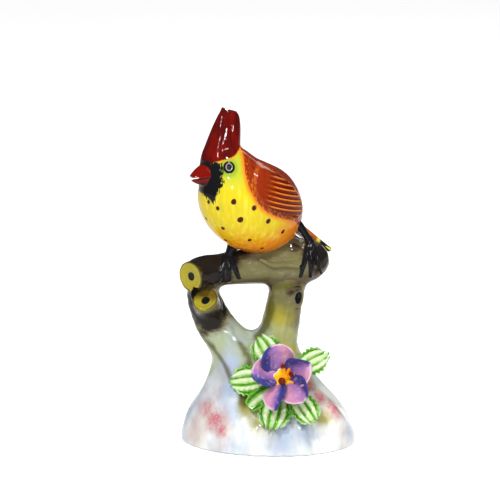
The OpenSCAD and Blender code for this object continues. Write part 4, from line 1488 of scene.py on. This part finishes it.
class SONGBIRD_OT_studio(bpy.types.Operator):
    """Set up the pale floor, the soft lights and the camera"""

    bl_idname = "songbird.studio"
    bl_label = "Studio"

    def execute(self, context):
        scene, studio = context.scene, context.scene.songbird_studio
        corner = [(-1, -1), (1, -1), (1, 1), (-1, 1)]
        mesh = bpy.data.meshes.new("floor")
        mesh.from_pydata([(FLOOR_SIDE * x, FLOOR_SIDE * y, 0) for x, y in corner], [], [(0, 1, 2, 3)])
        floor = bpy.data.objects.new("floor", mesh)
        scene.collection.objects.link(floor)
        paper = bpy.data.materials.new("paper")
        paper.use_nodes = True
        shader = paper.node_tree.nodes["Principled BSDF"]
        shader.inputs["Base Color"].default_value = (*studio.floor, 1)
        shader.inputs["Roughness"].default_value = 0.9
        shader.inputs["Specular IOR Level"].default_value = 0.0
        shader.inputs["Emission Color"].default_value = (1, 1, 1, 1)
        shader.inputs["Emission Strength"].default_value = PAPER_GLOW
        mesh.materials.append(paper)
        world = bpy.data.worlds.new("studio")
        world.use_nodes = True
        world.node_tree.nodes["Background"].inputs["Color"].default_value = (1, 1, 1, 1)
        world.node_tree.nodes["Background"].inputs["Strength"].default_value = studio.soft_light
        scene.world = world
        target = (0, 0, CAD_BOX[1][2] / 2)
        for name, place, size, power in LAMPS:
            add_lamp(name, place, target, size, power)
        camera = bpy.data.objects.new("camera", bpy.data.cameras.new("camera"))
        camera.data.sensor_width = 36
        camera.data.lens = 36 * studio.distance / studio.frame_width
        tilt = studio.elevation
        back = Vector((0, -math.cos(tilt), math.sin(tilt)))
        up = Vector((0, math.sin(tilt), math.cos(tilt)))
        aim = Vector(target) + Vector((FRAME_SHIFT[0] * MM, 0, 0)) + up * FRAME_SHIFT[1] * MM
        camera.location = aim + back * studio.distance
        camera.rotation_euler = (-back).to_track_quat("-Z", "Y").to_euler()
        scene.collection.objects.link(camera)
        scene.camera = camera
        scene.view_settings.view_transform = "Standard"
        return {"FINISHED"}


class SONGBIRD_PT_panel(bpy.types.Panel):
    """Sidebar panel with the settings and one button for each group of pieces"""

    bl_idname = "SONGBIRD_PT_panel"
    bl_label = "Songbird"
    bl_space_type = "VIEW_3D"
    bl_region_type = "UI"
    bl_category = "Songbird"

    def draw(self, context):
        layout = self.layout
        scene = context.scene
        for group in (scene.songbird_form, scene.songbird_studio, scene.songbird_paints):
            column = layout.column()
            for name in group.__annotations__:
                column.prop(group, name)
        for name in STEPS:
            layout.operator(f"songbird.{name}")


STEPS = ["studio", "mound", "branches", "bird", "wings", "feet", "flower", "leaves"]
CLASSES = (SongbirdForm, SongbirdPaints, SongbirdStudio, SONGBIRD_OT_mound, SONGBIRD_OT_branches,
           SONGBIRD_OT_bird, SONGBIRD_OT_wings, SONGBIRD_OT_feet, SONGBIRD_OT_flower, SONGBIRD_OT_leaves,
           SONGBIRD_OT_studio, SONGBIRD_PT_panel)


def register():
    """Makes the classes and their settings known to Blender."""
    for cls in CLASSES:
        bpy.utils.register_class(cls)
    bpy.types.Scene.songbird_form = bpy.props.PointerProperty(type=SongbirdForm)
    bpy.types.Scene.songbird_paints = bpy.props.PointerProperty(type=SongbirdPaints)
    bpy.types.Scene.songbird_studio = bpy.props.PointerProperty(type=SongbirdStudio)


def unregister():
    """Takes the classes and their settings out again."""
    del bpy.types.Scene.songbird_form
    del bpy.types.Scene.songbird_paints
    del bpy.types.Scene.songbird_studio
    for cls in reversed(CLASSES):
        bpy.utils.unregister_class(cls)


def main():
    register()
    for name in STEPS:
        getattr(bpy.ops.songbird, name)()


if __name__ == "__main__":
    main()
